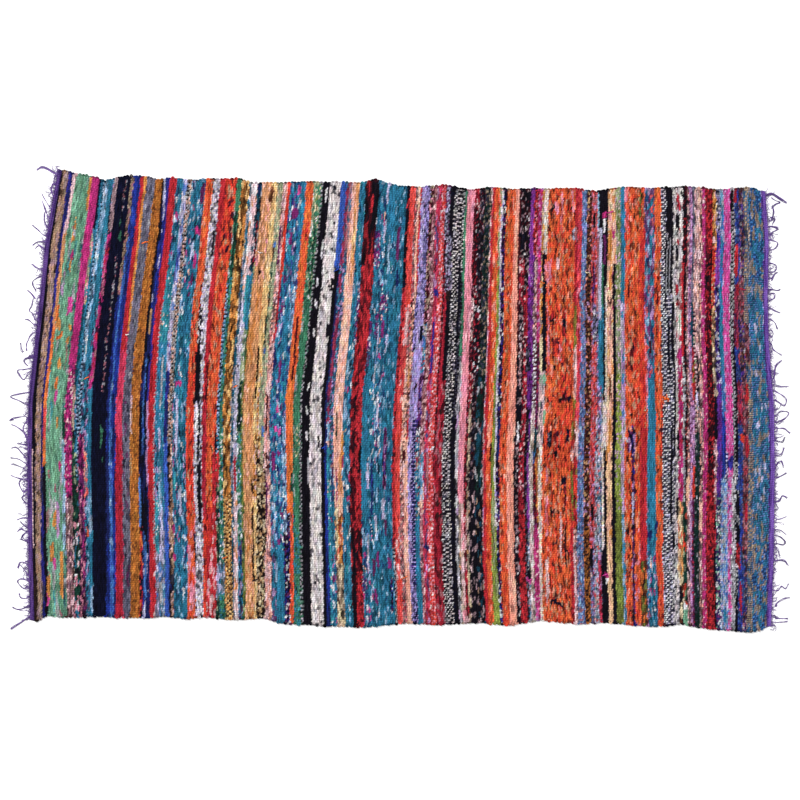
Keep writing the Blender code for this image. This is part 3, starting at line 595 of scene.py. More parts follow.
    (215.6, 215.8, 216.0, "stone_fleck"),
    (216.3, 216.6, 217.2, "white_print 140 white_pink -200 cream_gold -350 black_cream"),
    (218.3, 218.2, 218.6, "wine_coal 280 red 90 white_grey -200 green_coal -400 pale_mint"),
    (219.0, 218.9, 219.2, "wine_coal -200 green_coal -400 pale_mint"),
    (219.8, 219.7, 219.9, "pink_coal 80 pink_maroon -140 peach_pink"),
    (220.6, 220.5, 220.8, "pink_lilac"),
    (221.6, 221.4, 221.6, "slate_plain 110 crimson_grey 0 pink_lilac -130 brick -200 plum_dark"),
    (222.3, 222.2, 222.1, "peach_coal 180 mixed_mauve -60 bottle_weave"),
    (223.0, 223.0, 223.0, "peach_coal 60 pink_maroon2 -60 bottle_weave"),
    (224.2, 223.9, 223.9, "pink_maroon2"),
    (224.8, 225.0, 224.9, "magenta_weave"),
    (226.0, 226.4, 226.0, "red_black 300 black_red -150 red_black"),
    (228.4, 228.5, 229.0,
     "butter_brown 310 orange_tick 190 tan_coal 110 cream_coal 10 coal -80 pink_coal -200 coal_red"),
    (229.7, 229.6, 229.4, "lilac_night 330 orchid_weave 240 violet_white 40 violet_deep -190 mint_night"),
    (231.0, 231.1, 230.9, "sea_pale 380 blue_light 230 sea_weave 60 blue_light -30 cool_royal -150 pale_mix"),
    (232.2, 232.4, 232.3, "hot_weave -100 navy_zig -160 pale_mix"),
    (233.0, 233.0, 233.5, "hot_weave -110 indigo -130 hot_pale"),
    (234.6, 234.7, 234.6, "coal 385 pale_coal -120 grey_tick"),
    (235.6, 235.6, 235.8, "pale_coal 120 coal_silver -120 pale_coal -380 coal_silver"),
    (236.2, 236.4, 236.9, "cobalt_weave 240 dull_red 110 cobalt_weave 40 dull_red -40 cobalt_weave"),
    (237.8, 237.9, 238.4, "dusk_mix 250 maroon_mix 180 dusk_mix 40 maroon_mix -300 dusk_mix"),
    (239.7, 239.9, 239.8, "beige_blue 260 tan_blue 160 maroon_mix 80 tan_blue -130 beige_blue -290 tan_blue"),
    (241.6, 241.4, 241.8, "teal_tan 250 blue_rush -280 teal_tan"),
    (246.6, 246.6, 246.7, "violet_edge"),
)

# Patches on the stripes, by rag: the rows where each starts and ends, and the y of its upper and lower side.
# Where two cross, the later rag shows.
PATCHES = {
    "magenta": (
        (8.8, 9.6, 300, 285), (10.5, 11.1, -118, -140), (48.1, 49.0, -248, -262), (48.3, 49.2, -306, -320),
        (48.6, 50.4, 46, 34), (51.2, 53.4, 352, 336), (51.6, 52.6, 300, 270), (191.0, 192.4, 380, 368),
        (192.4, 193.6, -340, -350), (194.2, 195.2, 350, 330), (207.0, 207.8, 60, 45),
    ),
    "mauve": ((6.8, 7.6, 238, 215), (6.9, 7.5, 262, 250), (9.4, 10.3, -200, -268)),
    "tangerine": ((6.0, 7.0, 195, 160), (7.0, 9.0, 140, 128), (8.1, 9.0, 50, 30)),
    "gold": (
        (5.9, 7.0, -345, -385), (6.5, 8.2, 165, 150), (7.3, 8.5, -282, -312), (8.2, 9.3, -220, -250),
        (8.2, 9.5, 88, 68), (8.6, 9.3, 365, 320), (8.7, 9.3, 285, 262), (9.3, 10.0, -35, -50),
        (10.3, 11.4, -300, -388), (10.6, 11.6, 130, 118), (10.7, 11.6, 160, 145), (104.6, 105.3, -60, -130),
        (193.0, 194.2, 340, 285), (193.5, 194.3, -30, -100), (193.7, 194.5, 270, 222),
        (193.8, 195.0, -255, -268),
    ),
    "silver": (
        (8.8, 9.6, 345, 330), (43.6, 44.6, -360, -400), (43.7, 44.4, 95, -10), (93.2, 93.8, -110, -160),
        (199.2, 200.6, -70, -80), (213.0, 213.3, 345, 215), (213.9, 214.2, 330, 225),
    ),
    "hot_pink": (
        (5.9, 6.9, -385, -402), (8.2, 9.0, -308, -332), (8.4, 9.2, 28, 0), (9.6, 11.3, 212, 178),
        (82.2, 84.0, -50, -62), (82.6, 83.4, -5, -20), (83.9, 84.7, 432, 418), (166.8, 168.4, -352, -360),
    ),
    "orange": ((19.2, 19.9, -252, -266), (211.0, 213.5, 10, 4)),
    "pale_blue": (
        (20.6, 21.2, -365, -415), (82.0, 82.8, -320, -360), (105.2, 106.0, 90, 55), (105.3, 105.9, 5, -20),
        (116.3, 116.9, 335, 262),
    ),
    "pale_pink": (
        (34.0, 34.5, 15, -60), (123.6, 124.4, 190, 130), (125.0, 126.8, -122, -130),
        (172.9, 173.8, -310, -395), (175.6, 176.6, 290, 265), (177.8, 178.4, -220, -310),
        (182.0, 182.6, 115, 30), (182.3, 182.8, -300, -440), (182.9, 183.5, -60, -110),
    ),
    "tan": ((34.1, 34.6, -110, -150), (38.4, 39.0, 185, 140)),
    "pale_lilac": (
        (43.6, 44.3, -50, -95), (44.2, 44.9, -215, -300), (49.2, 50.0, 10, -110), (50.3, 50.9, 320, 290),
        (50.4, 51.4, -170, -230), (113.3, 114.2, -118, -172), (114.4, 115.0, 360, 320),
        (114.6, 115.3, 435, 400), (117.3, 117.9, 138, 104), (118.6, 119.6, -190, -235),
        (201.6, 202.0, -180, -235), (222.6, 223.3, 20, -10),
    ),
    "black_white": ((55.4, 56.6, 192, 100),),
    "black_tan": ((55.4, 56.0, -260, -320),),
    "maroon": (
        (59.0, 59.6, 80, 0), (79.2, 79.8, 20, -60), (79.3, 79.9, -100, -130), (87.0, 87.6, 172, 44),
        (125.4, 126.4, -95, -120), (154.4, 155.0, -80, -120), (200.0, 200.6, 250, 215),
        (207.0, 207.8, 120, 100), (209.8, 210.6, 215, 200),
    ),
    "plum": (
        (51.0, 51.6, 225, 212), (51.3, 51.9, 255, 240), (52.0, 53.2, 432, 398), (78.9, 79.5, 352, 282),
        (79.2, 79.9, -160, -230), (101.5, 102.1, -120, -150), (115.2, 116.2, -310, -345),
        (119.2, 120.3, 350, 282), (119.4, 120.3, -235, -265), (191.4, 192.2, 335, 275),
    ),
    "turq_print": ((48.6, 49.6, -140, -175),),
    "pink": (
        (53.4, 54.2, -290, -330), (54.0, 54.9, -360, -400), (173.3, 173.9, -130, -160),
        (193.0, 194.0, 380, 368),
    ),
    "verm_dark": ((61.2, 62.0, 240, 190),),
    "ink": (
        (62.3, 62.9, -60, -100), (128.6, 129.6, 155, 118), (173.6, 174.6, 395, 385),
        (174.2, 176.4, -393, -402), (176.0, 178.8, -400, -408), (178.4, 180.0, -150, -165),
        (179.6, 181.0, 14, 4), (179.7, 180.6, -55, -80), (213.3, 213.9, 165, 70), (214.4, 214.9, -40, -220),
    ),
    "black": (
        (55.1, 57.0, 100, 0), (56.6, 57.4, 0, -110), (56.8, 58.0, -120, -240), (57.6, 58.2, 340, 290),
        (96.6, 97.2, -60, -90), (96.8, 97.8, 160, 130), (97.0, 98.0, 245, 228), (108.6, 109.5, -290, -345),
        (110.6, 111.3, -80, -140), (128.4, 129.0, 38, 22), (170.4, 172.2, 300, 255),
        (174.6, 175.4, -205, -228), (174.6, 175.5, 78, 62), (175.8, 177.0, -95, -108),
        (176.9, 177.8, 8, -2), (212.4, 213.0, 330, 190), (213.6, 214.2, 160, 60), (214.2, 214.9, -60, -240),
        (214.6, 215.4, 150, 90), (214.8, 215.3, 195, 120), (215.0, 215.8, -260, -290),
        (215.2, 215.8, 30, -110), (215.8, 217.0, 378, 345), (216.4, 217.0, -60, -95),
        (216.6, 217.2, 212, 190),
    ),
    "white": (
        (51.5, 52.4, -370, -385), (56.0, 56.8, -10, -60), (92.2, 92.8, 250, 232), (92.4, 93.1, 205, 190),
        (92.4, 93.2, -10, -22), (92.5, 93.1, 40, 25), (92.5, 93.2, 142, 130), (92.6, 93.3, -60, -75),
        (92.8, 93.5, 430, 400), (93.0, 93.7, 320, 290), (163.3, 163.8, -40, -85), (191.4, 192.1, 365, 340),
        (192.6, 193.6, -350, -358), (222.8, 223.2, -186, -196),
    ),
    "crimson": (
        (68.9, 69.6, -108, -180), (165.2, 165.8, 230, 130), (216.2, 217.2, 240, 220),
        (216.2, 217.3, 238, 222), (216.2, 217.3, 415, 385), (216.3, 217.1, 330, 315),
        (236.0, 237.2, 430, 400), (237.2, 238.0, 235, 215), (237.4, 238.4, -360, -420),
        (238.8, 240.0, -70, -110), (238.9, 239.8, -200, -235),
    ),
    "turquoise": ((69.6, 70.6, 250, 160),),
    "navy": (
        (70.6, 71.3, -290, -325), (71.0, 71.7, 440, 415), (80.4, 81.2, 110, 60), (119.4, 120.3, 270, 235),
        (133.0, 134.6, -280, -296), (206.6, 208.0, -255, -275), (209.0, 210.0, -240, -260),
    ),
    "dark_green": ((64.2, 64.9, 380, 262), (102.7, 103.2, -22, -72)),
    "bottle": ((69.9, 70.5, 35, -50),),
    "red": (
        (63.1, 64.0, -100, -160), (122.0, 123.0, 285, 278), (122.0, 123.0, 345, 338),
        (122.0, 123.0, 408, 402), (154.3, 154.8, 340, 320), (216.0, 217.2, 200, 192),
        (236.2, 237.4, 310, 255), (237.4, 238.0, 95, 80), (239.0, 240.0, 35, 0),
    ),
    "cocoa": (
        (73.0, 74.0, 265, 250), (74.4, 75.3, -162, -178), (74.6, 75.2, -346, -352),
        (74.6, 75.2, -334, -340), (74.6, 75.2, -290, -326), (74.6, 75.3, -204, -262),
        (74.6, 75.3, -160, -176), (74.7, 75.2, -205, -330), (74.8, 75.6, -340, -356), (75.3, 75.9, 110, 12),
        (193.0, 193.6, 208, 192),
    ),
    "brown": ((74.7, 76.0, 430, 400), (193.5, 194.1, 50, 10)),
    "pink_maroon": ((78.9, 80.2, 215, 140), (79.2, 79.9, 110, 60)),
    "black_amber": ((78.7, 79.3, -130, -300),),
    "berry": (
        (81.3, 82.5, -98, -132), (81.4, 82.1, 198, 182), (81.5, 82.3, 255, 235), (82.4, 83.3, 338, 315),
        (82.4, 84.4, 392, 368), (82.5, 83.1, 88, 38), (83.0, 83.8, -270, -290), (83.2, 84.0, -92, -105),
        (84.3, 85.0, -220, -236), (101.4, 102.2, -340, -360), (115.6, 116.6, -380, -405),
        (115.6, 116.6, 168, 130), (116.6, 117.4, -300, -330), (120.4, 121.6, -310, -335),
    ),
    "blue_pale": ((84.3, 85.4, 255, 150), (86.4, 87.2, -222, -270)),
    "teal_solid": ((82.8, 84.5, 190, 100),),
    "sea_pale": ((81.8, 82.4, -170, -260),),
    "brick": ((87.4, 88.0, 355, 320), (221.4, 222.3, 80, 10)),
    "dark_greens": ((87.4, 88.2, -140, -180),),
    "forest": ((90.0, 90.6, 370, 200),),
    "wine": ((102.8, 103.3, -130, -195),),
    "raspberry": ((104.8, 105.5, -110, -130),),
    "magenta_mix": (
        (106.6, 107.4, 240, 120), (111.4, 112.4, 165, 75), (111.4, 112.8, 345, 275),
        (111.5, 113.0, -350, -380), (113.2, 114.4, 175, 130), (114.6, 117.2, 218, 182),
    ),
    "blood": ((108.2, 109.2, 38, -240),),
    "coal": (
        (108.3, 109.2, -380, -430), (141.2, 142.0, 280, 120), (162.6, 164.5, 0, -40),
        (163.0, 164.6, 340, 305), (166.8, 168.2, -335, -352), (187.6, 188.6, -290, -330),
        (187.8, 188.6, 375, 350), (188.0, 188.8, -200, -235), (215.9, 216.8, 310, 285),
        (216.2, 217.0, -190, -230), (223.0, 223.6, 90, 20),
    ),
    "lav_white": (
        (113.3, 114.0, -260, -340), (114.4, 114.9, 160, 20), (116.0, 116.7, 20, -50),
        (116.1, 116.8, -225, -265),
    ),
    "plum_night": ((118.8, 120.0, -50, -172), (187.9, 188.7, 275, 180)),
    "navy_print": ((114.8, 115.5, -110, -225),),
    "navy_white": ((86.2, 87.0, -224, -450), (120.9, 121.6, -350, -420)),
    "navy_lilac": ((126.5, 127.6, 215, 100), (128.2, 129.8, -370, -420)),
    "dusk": ((130.6, 131.5, 240, 180),),
    "indigo": ((132.8, 134.2, 230, 212), (133.0, 133.7, 160, 60), (229.8, 230.6, 340, 300)),
    "umber": ((137.0, 138.3, 225, 205),),
    "deep_teal": ((150.4, 151.3, -30, -90), (221.4, 222.2, 200, 110)),
    "teal_coal": ((149.6, 151.5, 40, -60),),
    "crimson_coal": ((146.6, 147.6, 60, 0),),
    "pink_coal": ((163.2, 163.9, 110, 30),),
    "coal_grey": ((165.4, 166.8, 110, 60), (173.4, 174.8, -55, -92)),
    "forest_grey": ((166.0, 167.2, -10, -200),),
    "orchid": ((167.1, 167.7, -190, -260),),
    "mint": ((171.3, 172.2, 60, 35), (171.5, 172.3, -20, -48), (217.4, 218.0, 175, 150)),
    "slate": ((170.5, 171.4, 0, -15),),
    "pale_orange": (
        (171.5, 174.0, 285, 240), (172.6, 173.2, 230, 60), (173.0, 174.0, -190, -270),
        (174.6, 176.0, 400, 380), (176.4, 177.6, 130, 85), (176.8, 177.4, 440, 300),
        (180.4, 181.2, 430, 380), (199.4, 200.0, 440, 350),
    ),
    "ochre": ((169.8, 170.6, -115, -160),),
    "maroon_coal": (
        (71.2, 71.9, 370, 275), (146.5, 147.6, 330, 250), (169.2, 170.0, -130, -240), (178.0, 179.4, 22, 0),
        (179.2, 179.9, -165, -215),
    ),
    "lilac_mix": ((180.8, 181.5, 350, 325),),
    "night_red": ((174.0, 174.8, 182, 148), (177.6, 178.9, 178, 138), (177.8, 178.9, 55, 30)),
    "coal_red": ((179.4, 180.0, -240, -325),),
    "olive": ((181.6, 182.3, -145, -198), (195.8, 197.0, 360, 345)),
    "lilac_night": ((187.8, 189.6, 190, 120),),
    "dusty": (
        (6.8, 7.3, -135, -155), (8.8, 9.4, -165, -185), (133.6, 134.3, -100, -180),
        (181.6, 182.4, 350, 320), (189.3, 189.9, 330, 180), (193.6, 194.2, 175, 140),
    ),
    "sage": ((196.0, 197.0, 430, 400),),
    "sea": (
        (197.7, 198.6, 56, 42), (197.8, 198.6, 98, 80), (197.8, 198.6, 178, 165),
        (198.4, 199.2, -280, -300), (198.6, 199.3, -320, -345), (198.8, 199.4, -370, -390),
        (198.8, 199.6, -410, -430), (231.8, 232.8, -415, -440),
    ),
    "sky": (
        (37.0, 37.6, -145, -250), (38.5, 39.2, -275, -395), (77.2, 77.8, 112, 95), (77.3, 78.0, 322, 310),
        (77.9, 78.6, -48, -72), (129.8, 130.6, 135, 110), (169.0, 169.6, -100, -122),
        (197.8, 198.5, 50, 38), (197.8, 198.6, -15, -32), (231.4, 231.9, 60, -30),
    ),
    "print_orange": ((200.8, 202.4, 0, -50),),
    "night_streak": ((200.0, 202.6, -55, -100),),
    "olive_brown": ((203.7, 204.4, 440, 370),),
    "red_white_print": ((205.0, 206.0, -10, -50),),
    "red_weave": ((204.4, 206.4, -50, -300),),
    "orange_pink": ((210.4, 211.4, -80, -110),),
    "orange_night": (
        (173.8, 174.6, 290, 245), (174.0, 176.6, 128, 96), (174.8, 175.8, 20, -20),
        (175.2, 175.9, 160, 132), (175.2, 177.0, -200, -225), (175.4, 176.8, -35, -85),
        (176.0, 177.0, -250, -290), (177.2, 178.4, 100, 60), (177.4, 178.8, -60, -84),
        (178.0, 179.4, 320, 300), (178.6, 179.6, 140, 110), (200.5, 203.0, 130, 60),
        (210.8, 211.6, 0, -100),
    ),
    "white_grey": ((218.2, 219.0, 60, -60),),
    "peach": ((219.6, 220.6, -145, -200), (224.0, 225.0, -200, -260)),
    "vermilion": ((221.5, 222.3, -165, -195), (237.0, 238.4, -60, -80)),
    "cream_gold": ((216.8, 217.6, -220, -350),),
    "red_black": ((227.4, 228.6, 440, 400), (236.2, 237.6, -280, -330)),
    "mint_night": ((229.4, 229.8, -200, -320), (230.2, 231.0, -350, -440)),
    "cobalt_weave": ((236.0, 237.4, -150, -180), (238.2, 239.0, -320, -420)),
    "coal_silver": ((236.0, 237.2, -180, -280),),
}

# The chart
CHART_EDGE = 440  # the y of the chart's upper edge, and of its lower one with a minus
CHART_SEED = 3
ZIGZAG = 0.04  # how far a stripe's edge steps to and fro from warp to warp, in rows
MOST_FLECKS = 7  # the most colours that a rag has printed on its ground
PRINT_SIZES = (
    # the size of one patch of a print in mm, across its rag and along it
    (2.6, 5.0),
    (3.8, 13.0),
    (3.6, 45.0),
    (2.5, 11.0),
    (4.6, 7.0),
)
PRINT_SEED = CHART_SEED + 10
FAINTEST = 0.65  # how much of its own colour the faintest patch of a print shows
SHUFFLE = 977  # makes a second chance number of a patch's first one
GROUND_PATCH = (1.7, 45)  # in rows and mm: a ground's colours may change places from one to the next
GROUND_SEED = CHART_SEED + 6
DEEPER, FADED = 1.2, 0.1  # makes the colours deeper, and greyer
COLOUR_LIMITS = (0.004, 0.95)  # the darkest and the palest

# Noises: how much, how long a lump is along the rug and across it, and what is added to the seed
EDGE_WANDER = (0.12, 26, 30, 1)  # of a stripe's edge, in rows
EDGE_JITTER = (0.15, 5, 7, 2)
CHANGE_JITTER = (7.0, 2.5, 15, 3)  # of a change of rag along its row, in mm
PRINT_SKEW = (2.5, 14, 16, 4)  # of a twisted rag's print across it, in mm
GROUND_JITTER = (0.3, 9, 20, 5)  # of the rows where a ground's colours change places
STREAKS = (0.34, 2.9, 33, 7)  # of the cloth's colour, in long streaks: each rag row's own brightness, with painted shade and highlight of the rows
SPECKS = (0.24, 1, 1, 8)  # of the cloth's colour, from point to point
TINTS = (0.08, 4, 12, 30)  # of its red, green and blue
HEADING_STREAKS = (0.6, 3, 12, 1)  # between a heading's two shades; its lumps are measured in points
HEADING_SPECKS = (0.4, 1, 2.3, 2)
UNEVEN_FLOATS = (0.45, 1, 1, 0)  # of the heights, in mm: from float to float
UNEVEN_POINTS = (0.2, 1, 1, 1)  # from point to point
UNEVEN_CLOTH = (0.25, 23, 31, 77)  # in wide swells
UNEVEN_TURNS = (1.2, 11, 1, 3)  # of the long edges, in mm
WOBBLE = (0.6, 37, 21, 31)  # of the rows along the rug, in mm
FINE_WOBBLE = (0.3, 5, 3.1, 33)
SIDE_WOBBLE = (0.3, 29, 43, 32)  # of the warps across it, in mm

# How far apart in a noise neighbours are, along the rug and across it, and where the first one is
SPECK_STEPS = (1.31, 1.17, 0.0)
HEADING_STEPS = (1.3, 1.0, 0.0)
FLOAT_STEPS = (1.37, 1.61, 0.5)
POINT_STEPS = (1.29, 1.43, 0.5)

# The weave
FLOAT_POINTS = 3  # points along a float: two on the rag and one where it dips
# How far the points of a groove, a crown, the next groove and the next crown are shifted, in steps of a point
POINT_SHIFTS = np.array((0.25, 0.0, 0.25, 0.5))
CLOTH_HEIGHTS = (6.5, 5.0)  # of the crowns and the grooves, in mm
CLOTH_SEED, STRIP_SEED_STEP = 20, 10
DIP_HEIGHT = 0.2  # over the groove, between two floats of one warp
UNDER_RELIEF = 0.9  # of every other point of the underside, in mm
TURN_HEIGHT = 0.5  # of the outermost points, as a share of the crowns' height
NEAR_TURN_DROP = 0.4  # of the outermost crowns, as a share of the relief
SCALLOP = 0.9  # how far a long edge goes in and out with each float, in mm
STRAIGHT_POINTS = 6  # at each end of a strip, over which the wobble grows
DIP_LIGHT, GROOVE_LIGHT, UNDER_LIGHT = 0.62, 0.55, 0.8  # how much of the light gets there
SHARP_ANGLE = 1.3  # between two faces whose edge stays sharp, in radians
CORNERS = ((0, 0), (1, 0), (1, 1), (0, 1))  # of a face

# The map of a strip, in shares of its side
MAP_TOP, MAP_FILL = 0.85, 0.985  # the upper face's height, and how much of each of its rows is filled
MAP_UNDER, MAP_GAP = 0.1, 0.005  # the underside's height and the gap above it
MAP_WALL, MAP_WALL_STEP = 0.008, 1.5  # a wall's height, and the step to the next in such heights
CLOTH_MAP_ROWS, HEADING_MAP_ROWS = 3, 1  # in which a strip's upper face is laid out

# The headings
HEADING_ROWS = 5  # floats in each warp's column
HEADING_HEIGHTS = (3.4, 2.7)  # of the crowns and the grooves, in mm
HEADING_SEED = 60
LEFT_SHADES = ("aubergine", "heather")
RIGHT_SHADES = ("deep_violet", "bright_violet")
EVEN_MIX = 0.5  # halfway between the two shades

# The fringe's yarns, in mm
YARN_SHADES = ("aubergine", "heather", "mist")  # dark, bright, and the haze's
HUMPS, HUMP_SEED = 4, 91  # lumps of noise along a yarn
HUMP_PLACES, HUMP_LINE = 50, 0.5  # where in the noise they are taken
FLOOR_GAP = 1.05  # the height of a lying yarn's middle, in its radii
START_RISE, START_REACH = 1.2, 3  # how much higher it starts, and how far out it is down
ROUTE_YARNS = 4
LOOSE_STRANDS, LOOSE_YARNS = 95, 2
LOOSE_LENGTHS, LOOSE_CURL, LOOSE_STEPS = (8, 25), 0.1, 5
# how far a yarn strays in its bundle, its radius, how pale the palest is, its sides
ROUTE_LOOKS = (0.9, 0.6, 0.2, 5)
LOOSE_LOOKS = (1.0, 0.42, 0.4, 4)
ROOT_REACH, ROOT_DEPTH, ROOT_STRAY = 7, 2.5, 1  # a strand this near to the heading is led this deep into it
PLACE_STEPS = 3  # a bundle's steps for each place of its route
BUNDLE_THICKNESS, BUNDLE_TAPER, BUNDLE_LIFT = (0.8, 1.2), 0.25, 1.4  # in radii, at the end, of its humps
START_DEPTH, START_ANGLE, ANGLE_JITTER = 1.5, 0.6, 0.25  # of a curly yarn
SHORT_YARNS = (
    # how many at a warp, lengths, radius, curl, steps, sides, how pale
    (1, (4, 14), 0.45, 0.16, 6, 4, 0.3),
    (6, (3, 15), 0.24, 0.22, 5, 3, 0.45),
)
SHORT_THICKNESS, SHORT_TAPER, SHORT_LIFT = (0.7, 1.3), 0.4, 1.2
SHORT_PALENESS = 0.25  # how far it strays from how pale they are
TAIL_YARNS, TAIL_STEPS, TAIL_SIDES = 7, 20, 6
TAIL_RADII, TAIL_TAPER = (0.6, 0.9), 0.3
TAIL_FILL, TAIL_STRAY = 0.8, (1, 0.4)  # how much of its width a tail's yarns fill, and how far they stray
TAIL_LIFT, TAIL_HEIGHT = 1.0, 1.5  # of its yarns' humps, and of the highest yarn over the lowest
TAIL_PALENESS = 0.25

# The rags' turns at the long edges, in mm
TURN_MARGIN = 5  # from the cloth's corners
TURN_REACHES = (0.4, 2.2)
BIG_TURNS, BIG_REACHES = 0.25, (0.5, 2.2)  # the share of them that reach further, and how much
TURN_HALVES, TURN_RADII, TURN_SIDES = (2.2, 3.6), (1.3, 2.0), 6  # half its width, and its rag
TURN_LEVEL, TURN_LEVEL_STRAY = 3.4, 0.5
TURN_PAINTED_SHADES = (0.35, 0.8)  # painted shade: the share of the cloth's colour beside them that the turns get
TURN_STEPS = (4.0, 9.0)  # from one to the next
TURN_LOOP = (
    # along the edge in halves of the turn, and out from it, in reaches where outside and in mm where inside
    (-1, -3.5),
    (-0.9, -1.2),
    (-0.5, 0.75),
    (0, 1),
    (0.5, 0.75),
    (0.9, -1.2),
    (1, -3.5),
)

# The rags' ends on the face: colour, width in mm, and the row and y at the start and the end
ENDS = (
    ("green", 2.0, (16.7, 42), (18.2, 48)),
    ("orange", 2.2, (18.0, 47), (19.6, 52)),
    ("orange", 2.4, (32.4, 318), (34.8, 322)),
    ("orange", 2.4, (64.6, -312), (66.4, -308)),
    ("orange", 2.6, (67.9, 30), (69.5, 34)),
    ("orange", 2.2, (86.0, -214), (88.0, -210)),
    ("magenta", 2.6, (192.5, 378), (195.0, 383)),
    ("orange", 2.8, (211.3, 10), (213.6, 6)),
    ("orange", 2.0, (125.0, -352), (127.0, -347)),
    ("navy", 2.2, (28.4, -62), (29.8, -68)),
    ("royal", 2.2, (97.9, 262), (99.6, 267)),
    ("royal", 2.2, (97.8, -92), (99.5, -88)),
    ("off_white", 2.2, (30.4, 136), (31.8, 135)),
    ("orange", 2.2, (170.2, 241), (171.5, 238)),
    ("hot_pink", 2.2, (166.7, -357), (168.4, -353)),
    ("crimson", 2.0, (238.0, 228), (240.4, 225)),
    ("black", 2.4, (74.6, -356), (76.6, -352)),
    ("cream", 2.2, (185.2, 262), (186.9, 258)),
    ("off_white", 2.0, (72.5, 302), (74.2, 298)),
    ("hot_pink", 2.2, (191.6, -346), (193.5, -342)),
)
ENDS_SEED = 80
ENDS_LEVEL, ENDS_ARCH = 6.6, 1.6  # how high their ends lie, and how much higher their middle is
ENDS_SWAY = 1.2
ENDS_PLACES = (0, 0.25, 0.5, 0.75, 1)  # shares of the way from start to end
ENDS_STEPS, ENDS_SIDES = 12, 7
ENDS_SHADES = (0.85, 1)
ENDS_THIN, ENDS_ROUND = 0.45, (0.08, 0.92)  # how thin they start, and the part of a half wave they swell by

# The materials
COTTON_ROUGHNESS, COTTON_SPECULAR, SHEEN_ROUGHNESS = 0.9, 0.05, 0.5
STREAK_DETAIL, STREAK_ROUGHNESS, STREAK_RANGE = 2.0, 0.65, (0.33, 0.67)
BUMP_STRENGTH = 0.7
# sheen, the streaks' sizes in mm, the painted shade and highlight between which they change, and their relief
# in mm
RAG_COTTON = (0.01, (1.2, 20.0, 20.0), (0.1, 1.6), 0.8)
YARN_COTTON = (0.05, (3.0, 1.2, 2.0), (0.6, 1.3), 0.3)

# The stage, in metres
FLOOR_SIZE = 12.0
FLOOR_COLOUR = (0.93, 0.93, 0.93, 1.0)
FLOOR_ROUGHNESS, FLOOR_SPECULAR = 0.95, 0.1
WORLD_COLOUR = (1.0, 1.0, 1.0, 1.0)
WORLD_STRENGTH = 0.62
LIGHTS = (
    # name, place, size, power in W
    ("soft_key", (-1.6, 2.2, 3.6), 2.2, 169.0),
    ("soft_fill", (2.0, -1.0, 4.0), 3.0, 67.0),
)
SENSOR = 36.0  # in mm
CAMERA_HEIGHT = 8.0  # a long way off, as the photo's straight edges show
PHOTO_WIDTH = 1.6  # of floor
PHOTO_CENTRE = (-5.0, 5.0)  # in the tables' millimetres


# Places on the rug


def lean(s, y):
    """How far the stripe through s stands off its mid-line place at y. Both are arrays of one shape."""
    table = np.array(LEAN, float)
    guides = table[:, 0]
    at_guide = np.array([np.interp(-y, [-v for v in LEAN_AT], row[1:]) for row in table])
    after = np.clip(np.searchsorted(guides, s), 1, len(guides) - 1)
    share = np.clip((s - guides[after - 1]) / (guides[after] - guides[after - 1]), 0, 1)
    before = np.take_along_axis(at_guide, (after - 1)[None], 0)[0]
    behind = np.take_along_axis(at_guide, after[None], 0)[0]
    return before + share * (behind - before)


def edge(table, s):
    """The y of a long edge at s."""
    return np.interp(s, *np.array(table, float).T)


def across(s, line):
    """The y of a line of points at s: line 0 is the lower edge, and there are two lines to a warp."""
    low, high = edge(LOWER_EDGE, s), edge(UPPER_EDGE, s)
    return low + (high - low) * line / (2 * WARPS)


def outer_edge(side):
    """The mid-line place of a heading's outer edge. side is -1 for the left one and 1 for the right one."""
    return LEFT_END if side < 0 else RIGHT_END


def end_line(side, y):
    """The x of the heading's outer edge at y."""
    outer = outer_edge(side)
    return outer + lean(np.full(np.shape(y), outer), np.asarray(y, float))


def middle_of_tables():
    """The middle of the cloth's box in the tables' own millimetres."""
    ends = []
    for s in (CLOTH_START, CLOTH_END):
        y = np.array(LEAN_AT[1:-1] + (edge(UPPER_EDGE, s), edge(LOWER_EDGE, s)))
        ends.append(s + lean(np.full(y.shape, s), y))
    s = np.linspace(CLOTH_START, CLOTH_END, CLOTH_FLOATS + 1)
    low, high = edge(LOWER_EDGE, s).min(), edge(UPPER_EDGE, s).max()
    return (ends[0].min() + ends[1].max()) / 2, (low + high) / 2


CLOTH_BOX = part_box("rag_cloth")
TABLE_MIDDLE = middle_of_tables()
SHIFT = tuple((CLOTH_BOX[0][k] + CLOTH_BOX[1][k]) / 2 / MM - TABLE_MIDDLE[k] for k in (0, 1))


def on_floor(x, y, z):
    """Points of the tables' plane, in millimetres, as points of the frame, in metres."""
    return np.stack([x + SHIFT[0], y + SHIFT[1], z + 0 * x], -1) * MM


# Noise


def soft_noise(u, v, seed):
    """Smooth noise from -1 to 1, with about one lump to a unit of u and of v."""
    size = 256
    lattice = np.random.default_rng(seed).uniform(-1, 1, (size, size))
    u, v = np.broadcast_arrays(np.asarray(u, float), np.asarray(v, float))
    iu, iv = np.floor(u).astype(int), np.floor(v).astype(int)
    fu, fv = u - iu, v - iv
    fu, fv = fu * fu * (3 - 2 * fu), fv * fv * (3 - 2 * fv)
    near = lattice[iu % size, iv % size] * (1 - fu) + lattice[(iu + 1) % size, iv % size] * fu
    far = lattice[iu % size, (iv + 1) % size] * (1 - fu) + lattice[(iu + 1) % size, (iv + 1) % size] * fu
    return near * (1 - fv) + far * fv


def noise(kind, u, v, seed=0, weight=1):
    """Soft noise by a line of the noises' table, and by a weight for each place."""
    much, long, wide, more = kind
    return much * weight * soft_noise(u / long, v / wide, seed + more)


def apart(first, second, steps):
    """Where numbered neighbours are in a noise, so far apart that each gets a value of its own."""
    along, beside, start = steps
    return first * along + start, second * beside + start


